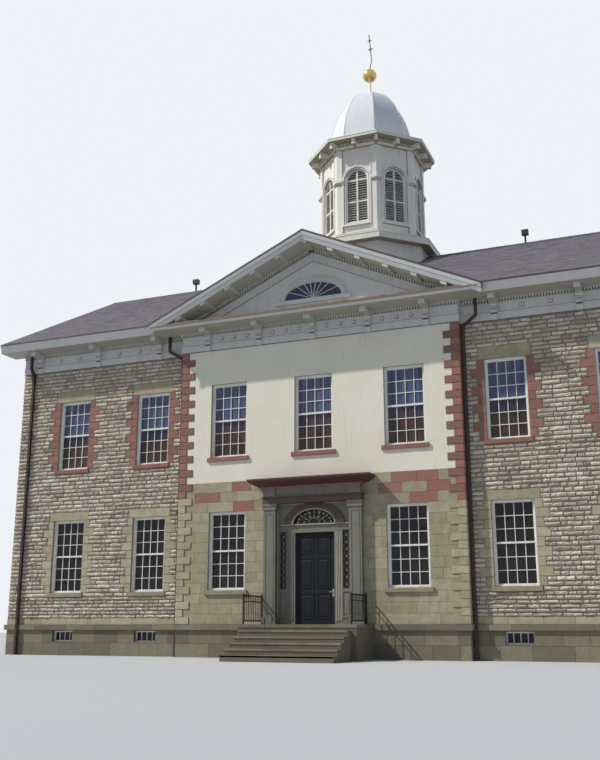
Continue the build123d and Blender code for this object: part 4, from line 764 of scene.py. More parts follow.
def jamb_stones(piece, face, window, levels, rng):
    """Smooth long and short stones up both sides of a window; gives what they cover."""
    covered = []
    left, right = window.us
    foot, head = window.zs[0] - 0.01, window.zs[1] + 0.01
    inside = [pair for pair in pairwise(levels) if pair[0] > foot and pair[1] < head]
    for index, zs in enumerate(inside):
        reach = JAMB_LONG if index % 2 else JAMB_SHORT
        for us in ((left - reach, left), (right, right + reach)):
            ends, bed = (us[0] + 0.004, us[1] - 0.001), inset(zs, 0.004)
            stone(piece, face, ends, bed, -0.02, 0.014, 0.006, 0.001, rng.random(), rng, (2, 1))
        covered.append(((left - reach, right + reach), zs))
    return covered


def gable_half(level):
    """Half width of an end wall at a level, under the slopes of the roof."""
    return min(DEPTH_HALF, (RIDGE_LEVEL - ROOF_DEPTH - level) / MAIN_RISE - 0.05)


def split_round(block, holes):
    """A block cut away where holes cross it, as smaller blocks."""
    pieces = [block]
    for hole_us, hole_zs in holes:
        split = []
        for us, zs in pieces:
            if hole_us[1] <= us[0] or hole_us[0] >= us[1] or hole_zs[1] <= zs[0] or hole_zs[0] >= zs[1]:
                split.append((us, zs))
                continue
            split += [(rest, zs) for rest in cut_out([us], hole_us, 0.03)]
            inner = (max(us[0], hole_us[0]), min(us[1], hole_us[1]))
            split += [(inner, rest) for rest in cut_out([zs], hole_zs, 0.02)]
        pieces = split
    return pieces


def smooth_blocks(piece, face, us, zs, course, lengths, holes, proud, tint, rng):
    """Even courses of smooth blocks with fine joints; tint gives a block's tint."""
    count = max(1, round((zs[1] - zs[0]) / course))
    height = (zs[1] - zs[0]) / count
    for step in range(count):
        low, high = zs[0] + step * height, zs[0] + (step + 1) * height
        place = us[0]
        stop = place + rng.uniform(*lengths) * (0.5 if step % 2 else 1.0)
        while place < us[1] - 0.05:
            if us[1] - stop < 0.3:
                stop = us[1]
            shade = tint((place + stop) / 2, (low + high) / 2)
            for a, b in split_round(((place, stop), (low, high)), holes):
                a, b = inset(a, FINE_JOINT), inset(b, FINE_JOINT)
                stone(piece, face, a, b, proud - 0.03, proud, 0.003, 0.0008, shade, rng, (1, 1))
            place = stop
            stop = place + rng.uniform(*lengths)


def face_dressings(piece, name, face, rng):
    """A worn stone face over each sill or lintel."""
    for us, zs, ds in dressings(name, face):
        stone(piece, face, us, zs, ds[1] - 0.005, ds[1] + 0.006, 0.007, 0.001, rng.random(), rng, (4, 1))


def dress_wall(name, face, half, top, inner=0.0, seed=1):
    """Lay the stones of one wall face between its ends; inner is the half width left free."""
    rng = random.Random(seed)
    rubble, red, buff = Piece(), Piece(), Piece()

    def stretches_to(reach):
        return [(-reach, -inner), (inner, reach)] if inner else [(-reach, reach)]

    levels = wall_levels(face, min(top, FRIEZE_FOOT))
    taken = []
    for window in all_windows:
        if window.face is face and not window.basement:
            taken += jamb_stones(red if window.upper else buff, face, window, levels, rng)
            taken.append((window.us, window.zs))
    for kind in ("window_sills", "window_lintels"):
        taken += [(us, zs) for us, zs, _ in dressings(kind, face)]
    face_dressings(buff, "window_lintels", face, rng)
    if top > FRIEZE_FOOT:
        levels += divide((FRIEZE_FOOT, top), round((top - FRIEZE_FOOT) / BAND_HEIGHT))[1:]
    for low, high in pairwise(levels):
        reach = min(half(low), half(high))
        if reach < 0.3:
            continue
        stretches = stretches_to(reach)
        for us, zs in taken:
            if zs[0] < high - 0.02 and zs[1] > low + 0.02:
                stretches = cut_out(stretches, us)
        for stretch in stretches:
            lay_rubble(rubble, face, stretch, (low, high), rng)
    base = (FLOOR_LEVEL, BASE_COURSE_TOP)
    for span in stretches_to(half(FLOOR_LEVEL)):
        smooth_blocks(buff, face, span, base, 0.3, (0.7, 1.1), [], 0.022, lambda u, z: rng.random(), rng)
    rubble.make(name + "_rubble", RUBBLE, "rubble_stone")
    red.make(name + "_red_jambs", RED_STONE, "sill_stone")
    buff.make(name + "_buff_stones", BUFF_STONE, "lintel_stone")


GABLE_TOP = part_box("left_end_wall")[1].z - 0.1
dress_wall("wings", WINGS, lambda level: BUILDING_HALF, FRIEZE_FOOT, inner=CENTRE_HALF + 0.03, seed=11)
dress_wall("rear", REAR, lambda level: BUILDING_HALF, FRIEZE_FOOT, seed=12)
dress_wall("left_end", LEFT, gable_half, GABLE_TOP, seed=13)
dress_wall("right_end", RIGHT, gable_half, GABLE_TOP, seed=14)


# Joinery of the windows
def window_joinery():
    """Bars for twelve panes over twelve, and casings round the frames."""
    piece = Piece()
    for window in all_windows:
        face, us, (foot, head) = window.face, window.us, window.zs
        front = window.ds[1] - 0.035
        back = front - MUNTIN_DEPTH
        if window.basement:
            for u in divide(us, 4)[1:-1]:
                piece.face_box(face, around(u, 0.012), (foot + 0.03, head - 0.03), (back, front))
            continue
        case = (window.ds[1] - 0.004, window.ds[1] + CASING_PROUD)
        inner = inset(us, CASING_WIDTH)
        piece.face_box(face, (us[0], inner[0]), (foot, head), case)
        piece.face_box(face, (inner[1], us[1]), (foot, head), case)
        piece.face_box(face, inner, (head - CASING_WIDTH, head), case)
        piece.face_box(face, inner, (foot, foot + CASING_WIDTH), (case[0], case[1] - 0.01))
        panes = inset(us, STILE)
        rail = around((foot + head) / 2, RAIL / 2)
        piece.face_box(face, panes, rail, (case[0], case[0] + 0.02))
        for zs in ((foot + STILE, rail[0]), (rail[1], head - STILE)):
            for u in divide(panes, PANE_COLUMNS)[1:-1]:
                piece.face_box(face, around(u, MUNTIN / 2), zs, (back, front))
            for z in divide(zs, PANE_ROWS)[1:-1]:
                piece.face_box(face, panes, around(z, MUNTIN / 2), (back, front - 0.002))
    piece.make("window_joinery", WINDOW_PAINT, "window_wood")


window_joinery()


def stucco_coat():
    """A thin coat on the upper part of the centre block, cut round its windows."""
    piece = Piece()
    holes = window_holes(CENTRE)
    edge = CENTRE_HALF - 0.02
    marks = sorted({-edge, edge, *[mark for hole in holes for mark in hole[0]]})
    for low, high in pairwise(marks):
        middle = (low + high) / 2
        stretches = [(STUCCO_FOOT, FRIEZE_FOOT)]
        for us, zs in holes:
            if us[0] < middle < us[1]:
                stretches = cut_out(stretches, zs)
        for stretch in stretches:
            piece.face_box(CENTRE, (low, high), stretch, (-0.01, STUCCO_PROUD))
    piece.make("stucco_coat", STUCCO, "stucco")


stucco_coat()

# Red blocks among the buff ones under the stucco: stretches along the front, from the top course down
RED_BLOCKS = (
    ((-3.3, -2.45), (2.45, 3.95)),
    ((-4.0, -3.2), (1.9, 3.3), (4.05, 4.5)),
    ((-2.9, -2.3), (3.0, 4.0)),
)


def centre_stonework():
    """Smooth blocks below the stucco, and worn faces over the sills."""
    rng = random.Random(21)
    ashlar, sills = Piece(), Piece()
    door_low, door_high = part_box("door_frame")
    holes = window_holes(CENTRE) + [((door_low.x, door_high.x), (FLOOR_LEVEL, door_high.z))]
    zs = (FLOOR_LEVEL, STUCCO_FOOT)
    course = (zs[1] - zs[0]) / round((zs[1] - zs[0]) / ASHLAR_COURSE)

    def tint(u, z):
        step = int((STUCCO_FOOT - z) / course)
        reds = RED_BLOCKS[step] if step < len(RED_BLOCKS) else ()
        if any(low < u < high for low, high in reds):
            return 0.75 + 0.25 * rng.random()
        return 0.5 * rng.random()

    us = (-CENTRE_HALF, CENTRE_HALF)
    smooth_blocks(ashlar, CENTRE, us, zs, ASHLAR_COURSE, (0.6, 1.0), holes, ASHLAR_PROUD, tint, rng)
    ashlar.make("ashlar_blocks", ASHLAR, "ashlar")
    for face in (CENTRE, WINGS, REAR, LEFT, RIGHT):
        face_dressings(sills, "window_sills", face, rng)
    sills.make("sill_faces", SILL_STONE, "sill_stone")


centre_stonework()


def corner_stones():
    """Bevelled stones over the teeth of the corners, front and return."""
    rng = random.Random(22)
    red, buff = Piece(), Piece()
    mesh = nodes["corner_quoins"].data
    levels = sorted({round(vertex.co.z, 3) for vertex in mesh.vertices})
    edges = sorted({round(abs(vertex.co.x), 3) for vertex in mesh.vertices})
    proud = -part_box("corner_quoins")[0].y + 0.012
    for index, zs in enumerate(pairwise(levels)):
        inner = edges[index % 2] + 0.004
        for side, red_foot in ((-1, RED_FOOT), (1, RED_FOOT_RIGHT)):
            piece = red if zs[0] > red_foot - 0.05 else buff
            tint = rng.random()
            if piece is red:
                tint = 0.6 + 0.4 * tint if index % 2 else 0.35 * tint
            low, high = RETURN_SPANS[side > 0]
            turned = (low - 0.03, high) if side > 0 else (low, high + 0.03)
            front = sided(side, inner, edges[-1] + 0.010)
            for face, us in ((CENTRE, front), (RETURNS[side > 0], turned)):
                bed = inset(zs, 0.006)
                stone(piece, face, us, bed, proud - 0.02, proud, 0.009, 0.001, tint, rng, (2, 1))
    red.make("red_corner_stones", RED_STONE, "quoin_stone")
    buff.make("buff_corner_stones", BUFF_STONE, "quoin_stone")


corner_stones()


def foundation_stones():
    """Two courses of blocks round the foundation, and the joints of its projecting course."""
    rng = random.Random(23)
    piece = Piece()
    height, reach = WATER_TABLE
    top = FLOOR_LEVEL - height
    spans = [(CENTRE, -CENTRE_HALF, CENTRE_HALF)]
    spans += [(WINGS, -BUILDING_HALF, -CENTRE_HALF), (WINGS, CENTRE_HALF, BUILDING_HALF)]
    spans += [(REAR, -BUILDING_HALF, BUILDING_HALF)]
    spans += [(LEFT, -DEPTH_HALF, DEPTH_HALF), (RIGHT, -DEPTH_HALF, DEPTH_HALF)]
    spans += [(face, *span) for face, span in zip(RETURNS, RETURN_SPANS)]

    def shade(u, z):
        return rng.random()

    for face, low, high in spans:
        holes = window_holes(face, basement=True)
        smooth_blocks(piece, face, (low, high), (0.0, top), 0.43, (0.7, 1.3), holes, 0.014, shade, rng)
        us, zs = (low - reach, high + reach), (top, FLOOR_LEVEL)
        smooth_blocks(piece, face, us, zs, 0.2, (0.9, 1.4), [], reach + 0.008, shade, rng)
    piece.make("foundation_stones", FOUNDATION, "foundation_stone")


foundation_stones()


def step_slabs():
    """Worn slabs on the landing and on each step, with joints between them."""
    rng = random.Random(24)
    piece = Piece()
    levels = sorted({round(vertex.co.z, 3) for vertex in nodes["front_steps"].data.vertices})[1:]
    landing_low, landing_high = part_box("landing")
    step_low, step_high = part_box("front_steps")
    tread = (landing_low.y - step_low.y) / len(levels)

    def slab(us, front, back, foot, top):
        left, right = inset(us, 0.003)
        piece.box((left, front, foot), (right, back, top), rng.random())

    for index, level in enumerate(levels):
        front, back = step_low.y + index * tread, step_low.y + (index + 1) * tread
        nose = 0.018 if index else 0.0
        inner = [middle + rng.uniform(-0.2, 0.2) for middle in (-0.6, 0.6)]
        for us in pairwise([step_low.x, *inner, step_high.x]):
            slab(us, front - nose, back - 0.002, level - 0.05, level + 0.006)
    for us in pairwise([landing_low.x - 0.02, *LANDING_JOINTS, landing_high.x + 0.02]):
        for ys in ((landing_low.y - 0.02, -0.8), (-0.8, -0.09)):
            slab(us, *inset(ys, 0.003), FLOOR_LEVEL - 0.09, FLOOR_LEVEL + 0.004)
    piece.make("step_slabs", FOUNDATION, "step_stone")


step_slabs()


# Cornices
def row_of(low, high, pitch, free=()):
    """Evenly spaced places in a range that keep clear of others."""
    count = int((high - low) / pitch)
    places = [low + (high - low) * (step + 0.5) / count for step in range(count)]
    return [place for place in places if all(abs(place - other) > BRACKET_HALF for other in free)]


def clear_of(stretches, places):
    """Ranges without the room that brackets take."""
    for place in places:
        stretches = cut_out(stretches, around(place, BRACKET_HALF))
    return stretches


def disc(u, z, radius, count=14):
    turns = [2 * math.pi * step / count for step in range(count)]
    return [(u + radius * math.cos(turn), z + radius * math.sin(turn)) for turn in turns]


def bracket_places(face):
    return sorted(sum(us) / 2 for us, _, _ in dressings("eave_brackets", face))


def eave_details():
    """Dentils and round buttons on the level cornices, and dark strips of painted shade among them."""
    piece, shade_strips = Piece(), Piece()
    zs = (DENTIL_FOOT, DENTIL_FOOT + DENTIL_HEIGHT)
    bed = 0.08
    for face, low, high in (
        (CENTRE, -CENTRE_HALF - 0.05, CENTRE_HALF + 0.05),
        (WINGS, -BUILDING_HALF + 0.03, -CENTRE_HALF - 0.13),
        (WINGS, CENTRE_HALF + 0.13, BUILDING_HALF - 0.03),
        (REAR, -BUILDING_HALF + 0.03, BUILDING_HALF - 0.03),
    ):
        brackets = [place for place in bracket_places(face) if low < place < high]
        # A dark strip behind the dentils: painted shade in the gaps between them
        for stretch in clear_of([(low, high)], brackets):
            shade_strips.face_box(face, stretch, (zs[0] - 0.004, zs[1] + 0.012), (bed, bed + 0.016))
        for u in row_of(low, high, DENTIL_PITCH, brackets):
            piece.face_box(face, around(u, DENTIL_WIDTH / 2), zs, (bed, bed + 0.01 + DENTIL_PROUD))
        for span in pairwise(brackets):
            for u in divide(span, round((span[1] - span[0]) / BUTTON_PITCH[face is CENTRE]))[1:-1]:
                # A dark disc behind each button: painted shade round its rim
                shade_strips.panel(face, disc(u, BUTTON_LEVEL, BUTTON_RADIUS + 0.016), (0.03, 0.040))
                piece.panel(face, disc(u, BUTTON_LEVEL, BUTTON_RADIUS), (0.03, 0.058))
                piece.panel(face, disc(u, BUTTON_LEVEL, BUTTON_RADIUS * 0.45, 10), (0.058, 0.072))
        # Dark lines across the frieze: painted shadow lines
        for foot, head, ds in FRIEZE_LINES:
            shade_strips.face_box(face, (low, high), (FRIEZE_FOOT + foot, FRIEZE_FOOT + head), ds)
        # Dark strips on the bracket feet: painted shade in their grooves
        for place in brackets:
            for level, depth, tall in BRACKET_GROOVES:
                ds = (depth - 0.01, depth + 0.004)
                shade_strips.face_box(face, around(place, BLOCK_HALF), (level, level + tall), ds)
        for u in row_of(low, high, BOARD_LENGTH):
            ends = (FRIEZE_FOOT + 0.01, FRIEZE_FOOT + 0.26)
            piece.face_box(face, around(u, 0.006), ends, (0.05, 0.0625))
    piece.make("eave_details", CORNICE_PAINT, "joinery")
    shade_strips.make("dentil_shadows", SHADE_PAINT, "joinery")


roof_low, roof_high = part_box("pediment_roof")
APEX = roof_high.z
PEDIMENT_HALF = roof_high.x
PEDIMENT_FRONT = -roof_low.y
RAKE = (APEX - PEDIMENT_EAVE) / PEDIMENT_HALF
RAKE_SOFFIT = APEX - 0.345
BED_PROUD = 0.095


def rake_line(top, half):
    """An open line of (u, z) points under both slopes of the pediment."""
    return [(-half, top - RAKE * half), (0.0, top), (half, top - RAKE * half)]


def sloping_block(piece, us, top, height, ds):
    """A block whose top and foot follow the pediment's slope; top is its level at the apex."""
    tops = [top - RAKE * abs(u) for u in us]
    outline = [(us[0], tops[0] - height), (us[1], tops[1] - height), (us[1], tops[1]), (us[0], tops[0])]
    piece.panel(CENTRE, outline, ds)


def pediment_details():
    """Sloping dentils, the border of the field and the mouldings round the lunette, with painted shade
    lines.
    """
    piece, shade_strips = Piece(), Piece()
    top = RAKE_SOFFIT - 0.045
    bed = BED_PROUD - 0.01
    foot = top - DENTIL_HEIGHT - 0.02
    # Painted shade behind the sloping dentils
    shade_strips.band(CENTRE, rake_line(foot, 4.7), rake_line(top, 4.7), (bed, bed + 0.016))
    for side in (-1, 1):
        for place in row_of(0.10, 4.6, DENTIL_PITCH):
            us = around(side * place, DENTIL_WIDTH / 2)
            sloping_block(piece, us, RAKE_SOFFIT - 0.055, DENTIL_HEIGHT, (bed, bed + DENTIL_PROUD))
    border = RAKE_SOFFIT - 0.41
    half = (border - FIELD_FOOT) / RAKE
    sill_us = (-half + 0.05 / RAKE, half - 0.05 / RAKE)
    edge = FIELD_FOOT + 0.04
    lines = [rake_line(border - drop, half) for drop in (0.0, 0.05, 0.066)]
    piece.band(CENTRE, lines[0], lines[1], (-0.005, 0.022))
    # Painted shadow lines under the border and above the strip at its foot
    shade_strips.band(CENTRE, lines[1], lines[2], (-0.005, 0.004))
    piece.face_box(CENTRE, sill_us, (FIELD_FOOT, edge), (-0.005, 0.020))
    shade_strips.face_box(CENTRE, sill_us, (edge, edge + 0.014), (-0.005, 0.004))
    trim_low, trim_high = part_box("lunette_frame")
    sill = trim_low.z + 0.15
    for grow, depth in ((0.0, 0.055), (-0.095, 0.048)):
        a, b = trim_high.x - 0.15 + grow, trim_high.z - sill + grow
        piece.band(CENTRE, arc(a - 0.035, b - 0.035, sill, 28), arc(a, b, sill, 28), (0.03, depth))
    piece.make("pediment_details", CORNICE_PAINT, "joinery")
    shade_strips.make("sloping_shadows", SHADE_PAINT, "joinery")


def leaning_bar(piece, face, ends, upper, lower):
    """A moulding between two (u, drop) ends: its front leans from an upper (z, d) to a lower one."""
    back = min(upper[1], lower[1]) - 0.03
    section = (upper, lower, (lower[0], back), (upper[0], back))
    points = [face.point(u, z - drop, d) for u, drop in ends for z, d in section]
    sides = [(0, 1, 5, 4), (1, 2, 6, 5), (2, 3, 7, 6), (3, 0, 4, 7), (3, 2, 1, 0), (4, 5, 6, 7)]
    if ends[0][0] > ends[1][0]:
        sides = [tuple(reversed(side)) for side in sides]
    piece.add(points, sides)


def crown_mouldings():
    """Mouldings whose fronts lean back under the roof edges, and the outer ends of the sloping blocks."""
    piece = Piece()
    for face, low, high in EAVES:
        leaning_bar(piece, face, ((low, 0.0), (high, 0.0)), *EAVE_CROWN)
    ends = ((-CENTRE_CROWN_HALF, 0.0), (CENTRE_CROWN_HALF, 0.0))
    leaning_bar(piece, CENTRE, ends, *CENTRE_CROWN)
    half = PEDIMENT_HALF - 0.01
    for crown in RAKE_CROWNS:
        upper, lower = [(RAKE_SOFFIT + rise, reach) for rise, reach in crown]
        for side in (-1, 1):
            leaning_bar(piece, CENTRE, ((0.0, 0.0), (side * half, RAKE * half)), upper, lower)
    for step in range(-5, 6):
        # The middle block is level with the soffit at the apex
        top = RAKE_SOFFIT if step else RAKE_SOFFIT + RAKE * BLOCK_HALF
        sloping_block(piece, around(step * BLOCK_PITCH, BLOCK_HALF), top, 0.095, (0.70, 0.885))
    piece.make("crown_mouldings", CORNICE_PAINT, "joinery")


def roof_edges():
    """Dark metal along the roof edges and the ragged flashing on the level cornice."""
    rng = random.Random(31)
    piece, flashing = Piece(), Piece()
    front = (PEDIMENT_FRONT - 0.002, PEDIMENT_FRONT + 0.006)
    top = APEX + 0.012
    piece.band(CENTRE, rake_line(top - 0.05, PEDIMENT_HALF), rake_line(top, PEDIMENT_HALF), front)
    place = -FLASHING_HALF
    while place < FLASHING_HALF:
        stop = min(FLASHING_HALF, place + rng.uniform(0.12, 0.5))
        zs = (FLASHING_FOOT, FLASHING_FOOT + 0.015 + rng.uniform(0.015, 0.060))
        flashing.face_box(CENTRE, (place, stop), zs, (0.985, 1.003), rng.random())
        place = stop
    eave = -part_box("main_roof_front")[0].y + WING_FACE_Y
    for face, low, high in EAVES[:2]:
        zs = (EAVE_TOP - 0.055, EAVE_TOP + 0.005)
        piece.face_box(face, (low, high), zs, (eave - 0.002, eave + 0.006))
    piece.make("roof_edges", EDGE_METAL, "shingles")
    flashing.make("cornice_flashing", FLASHING, "shingles")


eave_details()
pediment_details()
crown_mouldings()
roof_edges()


# Shingles
def slope_courses(piece, place, up_length, us, kept, rng):
    """Shingle tabs on a slope; place(u, t, lift) gives a point t up from the eave."""
    courses = round(up_length / SHINGLE_EXPOSURE)
    exposure = up_length / courses
    count = round((us[1] - us[0]) / SHINGLE_WIDTH)
    width = (us[1] - us[0]) / count
    for course in range(courses):
        foot = course * exposure
        head = min(up_length, foot + exposure * SHINGLE_OVERLAP)
        offset = width * 0.5 if course % 2 else 0.0
        for index in range(count + 1):
            left = max(us[0], us[0] + index * width - offset)
            right = min(us[1], left + width if index else us[0] + width - offset)
            if right - left < 0.02 or not kept((left + right) / 2, foot + exposure / 2):
                continue
            low = foot - (rng.uniform(0.0, 0.006) if course else 0.0)
            lift = SHINGLE_THICKNESS * rng.uniform(0.8, 1.25)
            left, right = inset((left, right), 0.003)
            rows = ((left, low, lift), (right, low, lift), (right, head, 0.001), (left, head, 0.001))
            points = [place(*corner) for corner in (*rows, (left, low, -0.002), (right, low, -0.002))]
            sides = [(0, 1, 2, 3), (4, 5, 1, 0), (5, 2, 1), (4, 0, 3)]
            piece.add(points, sides, rng.betavariate(2, 2))


def main_level(y):
    return RIDGE_LEVEL - MAIN_RISE * abs(y - RIDGE_Y)


BASE_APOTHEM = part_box("cupola_base")[1].x


def in_cupola(x, y):
    """Whether a place lies under the cupola's eight-sided base."""
    turns = [math.pi * step / 4 for step in range(8)]
    return all(x * math.cos(turn) + (y - RIDGE_Y) * math.sin(turn) < BASE_APOTHEM - 0.2 for turn in turns)


def lay_roofs():
    """Shingles on both slopes of the main roof and of the pediment."""
    rng = random.Random(32)
    run = RIDGE_Y - main_low.y
    length = math.hypot(run, MAIN_RISE * run)
    cosine, sine = run / length, MAIN_RISE * run / length
    for name, side in (("front_shingles", -1), ("rear_shingles", 1)):
        def place(u, t, lift):
            y = RIDGE_Y + side * (run - t * cosine + lift * sine)
            return (u, min(y, 2 * RIDGE_Y - main_low.y), EAVE_TOP + t * sine + lift * cosine)

        def kept(u, t):
            y = RIDGE_Y + side * (run - t * cosine)
            if in_cupola(u, y):
                return False
            return side > 0 or abs(u) > PEDIMENT_HALF or main_level(y) > APEX - RAKE * abs(u) - 0.1

        piece = Piece()
        slope_courses(piece, place, length, (-ROOF_HALF - 0.002, ROOF_HALF + 0.002), kept, rng)
        piece.make(name, SHINGLES, "shingles")
    length = math.hypot(PEDIMENT_HALF, RAKE * PEDIMENT_HALF)
    cosine, sine = PEDIMENT_HALF / length, RAKE * PEDIMENT_HALF / length
    piece = Piece()
    for side in (-1, 1):
        def place(u, t, lift):
            x = side * (PEDIMENT_HALF - t * cosine + lift * sine)
            return (x, u, PEDIMENT_EAVE + t * sine + lift * cosine)

        def kept(u, t):
            return u < main_low.y or PEDIMENT_EAVE + t * sine > main_level(u) - 0.1

        slope_courses(piece, place, length, (-PEDIMENT_FRONT, PEDIMENT_ROOF_END), kept, rng)
    piece.make("pediment_shingles", SHINGLES, "shingles")


def cap_row(piece, start, stop, half, level, rise, rng, across=False):
    """Bent caps along a ridge, or across it, each a little over the one before."""
    place = start
    while place < stop - 0.02:
        end = min(stop, place + CAP_LENGTH)
        top = level + 0.016 + rng.uniform(0.0, 0.004)
        for side in (-1, 1):
            edge, low = side * half, top - rise * half
            corners = [(place, 0.0, top), (end, 0.0, top - 0.006)]
            corners += [(end, edge, low - 0.006), (place, edge, low)]
            outline = [(b, a, z) if across else (a, RIDGE_Y + b, z) for a, b, z in corners]
            piece.prism(outline, (0.0, 0.0, -0.014), rng.random())
        place = end


def ridge_caps():
    """Caps on the main ridge, wide and dark to the right of the cupola, and on the pediment's."""
    rng = random.Random(33)
    plain, dark = Piece(), Piece()
    clear = BASE_APOTHEM + 0.02
    cap_row(plain, -ROOF_HALF, -clear, 0.15, RIDGE_LEVEL, MAIN_RISE, rng)
    cap_row(dark, clear, ROOF_HALF, 0.46, RIDGE_LEVEL, MAIN_RISE, rng)
    meet = RIDGE_Y - (RIDGE_LEVEL - APEX) / MAIN_RISE
    cap_row(plain, -PEDIMENT_FRONT, meet, 0.14, APEX, RAKE, rng, across=True)
    plain.make("ridge_caps", SHINGLES, "shingles")
    dark.make("dark_ridge_caps", RIDGE_SHINGLES, "shingles")


lay_roofs()
ridge_caps()


# Cupola
def cupola_face(step, apothem):
    turn = 2 * math.pi * step / 8
    out = (math.cos(turn), math.sin(turn))
    return Face(apothem * out[0], RIDGE_Y + apothem * out[1], out)


PILASTER_EDGE = 0.613
PANEL_LEVELS = ((16.39, 18.53), (18.77, 20.20))
OPENING_SILL = 16.79
OPENING_HALF = 0.48
ARCH_SPRING = 18.67
TRANSOM_LEVEL = 17.72
BAR_WIDTH = 0.062
CUPOLA_SOFFIT = 20.34


def cupola_details():
    """White window bars over the slats, trims, dentils and panel edges on each face, with painted shadow
    lines.
    """
    bars, trim, shade_strips = Piece(), Piece(), Piece()
    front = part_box("cupola_louvres")[1].x
    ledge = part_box("cupola_ledge")[1].x
    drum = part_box("cupola_drum")[1].x - 0.14
    edge, bed = drum + 0.056, drum + 0.10
    sill, spring, half = OPENING_SILL, ARCH_SPRING, OPENING_HALF
    inner = half - BAR_WIDTH

    def arch(grow):
        return arc(half + grow, half + grow, spring, 16)

    for step in range(8):
        face = cupola_face(step, 0.0)
        ds = (front - 0.006, front + 0.016)
        for side in (-1, 1):
            bars.face_box(face, sided(side, half, inner), (sill, spring), ds)
        bars.face_box(face, (-inner, inner), (sill, sill + 0.07), ds)
        bars.band(face, arch(-BAR_WIDTH), arch(0.0), ds)
        bars.face_box(face, around(0.0, 0.036), (sill + 0.07, spring + half - 0.03), (ds[0], ds[1] + 0.006))
        for level in (TRANSOM_LEVEL, spring):
            bars.face_box(face, (-inner, inner), around(level, 0.03), ds)
        # Shadow lines beside the corner strips
        for side in (-1, 1):
            for zs in PANEL_LEVELS:
                us = sided(side, PILASTER_EDGE, PILASTER_EDGE - 0.016)
                shade_strips.face_box(face, us, zs, (1.995, 2.008))
                us = sided(side, PILASTER_EDGE + 0.004, PILASTER_EDGE + 0.034)
                trim.face_box(face, us, zs, (2.05, 2.070))
            us = sided(side, PILASTER_EDGE + 0.004, 0.85)
            shade_strips.face_box(face, us, (18.522, 18.539), (2.05, 2.062))
        # Bead and shadow line round the arch and down both sides of the opening
        for part, near, far, reach in ((trim, 0.065, 0.135, 0.030), (shade_strips, 0.045, 0.065, 0.008)):
            part.band(face, arch(near), arch(far), (edge, edge + reach))
            for side in (-1, 1):
                us = sided(side, half + near, half + far)
                part.face_box(face, us, (sill - 0.05, spring), (edge, edge + reach))
        zs = (CUPOLA_SOFFIT - 0.11, CUPOLA_SOFFIT - 0.03)
        for stretch in clear_of([(-0.80, 0.80)], (0.0,)):
            # Painted shade behind the dentils
            shade_strips.face_box(face, stretch, inset(zs, -0.01), (bed, bed + 0.016))
        for u in row_of(-0.80, 0.80, DENTIL_PITCH, (0.0,)):
            trim.face_box(face, around(u, DENTIL_WIDTH / 2), zs, (bed, bed + 0.01 + DENTIL_PROUD))
        # Beads round the cornice, the base of the drum and the ledge
        for foot, head, reach, depth, short in (
            (20.44, 20.47, 2.52, 0.012, 0.0),
            (16.33, 16.36, drum + 0.095, 0.012, 0.0),
            (15.99, 16.03, ledge, 0.014, 0.0),
            (15.77, 15.80, ledge, 0.010, 0.03),
        ):
            side_half = reach * math.tan(math.pi / 8) - short
            trim.face_box(face, (-side_half, side_half), (foot, head), (reach - 0.01, reach + depth))
    bars.make("louvre_bars", WINDOW_PAINT, "cupola_wood")
    trim.make("cupola_trim", CUPOLA_PAINT, "cupola_wood")
    shade_strips.make("cupola_shadows", SHADE_PAINT, "cupola_wood")


def dome_seams():
    """Low seams along the corners between the dome's eight sides."""
    piece = Piece()
    low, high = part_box("cupola_dome")
    corner = 1 / math.cos(math.pi / 8)
    line = []
    for level in divide((0.0, math.pi / 2), 25)[:-1]:
        line.append((high.x * math.cos(level) * corner, low.z + (high.z - low.z) * math.sin(level)))
    for step in range(8):
        turn = math.pi * (step + 0.5) / 4
        face = Face(0.0, RIDGE_Y, (math.cos(turn), math.sin(turn)))
        for (r0, z0), (r1, z1) in pairwise(line):
            ring = ((-SEAM_HALF, r0, z0), (SEAM_HALF, r0, z0), (SEAM_HALF, r1, z1), (-SEAM_HALF, r1, z1))
            points = [face.point(w, z, r + lift) for lift in (-0.01, 0.006) for w, r, z in ring]
            piece.add(points, [(4, 5, 6, 7), (0, 1, 5, 4), (2, 3, 7, 6), (0, 4, 7, 3), (1, 2, 6, 5)])
    piece.make("dome_seams", DOME_METAL, "dome_metal")


def rod_stars():
    """Two small crossed ornaments on the rod."""
    piece = Piece()
    for level, lean, size in STARS:
        for turn, share in ((0.0, 1.0), (math.pi / 2, 1.0), (math.pi / 4, 0.6), (-math.pi / 4, 0.6)):
            dx, dz = size * share * math.cos(turn), size * share * math.sin(turn)
            nx, nz = -0.014 * math.sin(turn), 0.014 * math.cos(turn)
            tips = ((-dx, -dz), (nx, nz), (dx, dz), (-nx, -nz))
            outline = [(lean + x, RIDGE_Y - 0.02, level + z) for x, z in tips]
            piece.prism(outline, (0.0, 0.04, 0.0))
    piece.make("rod_stars", ROD_METAL, "rod_metal")


cupola_details()
dome_seams()
rod_stars()


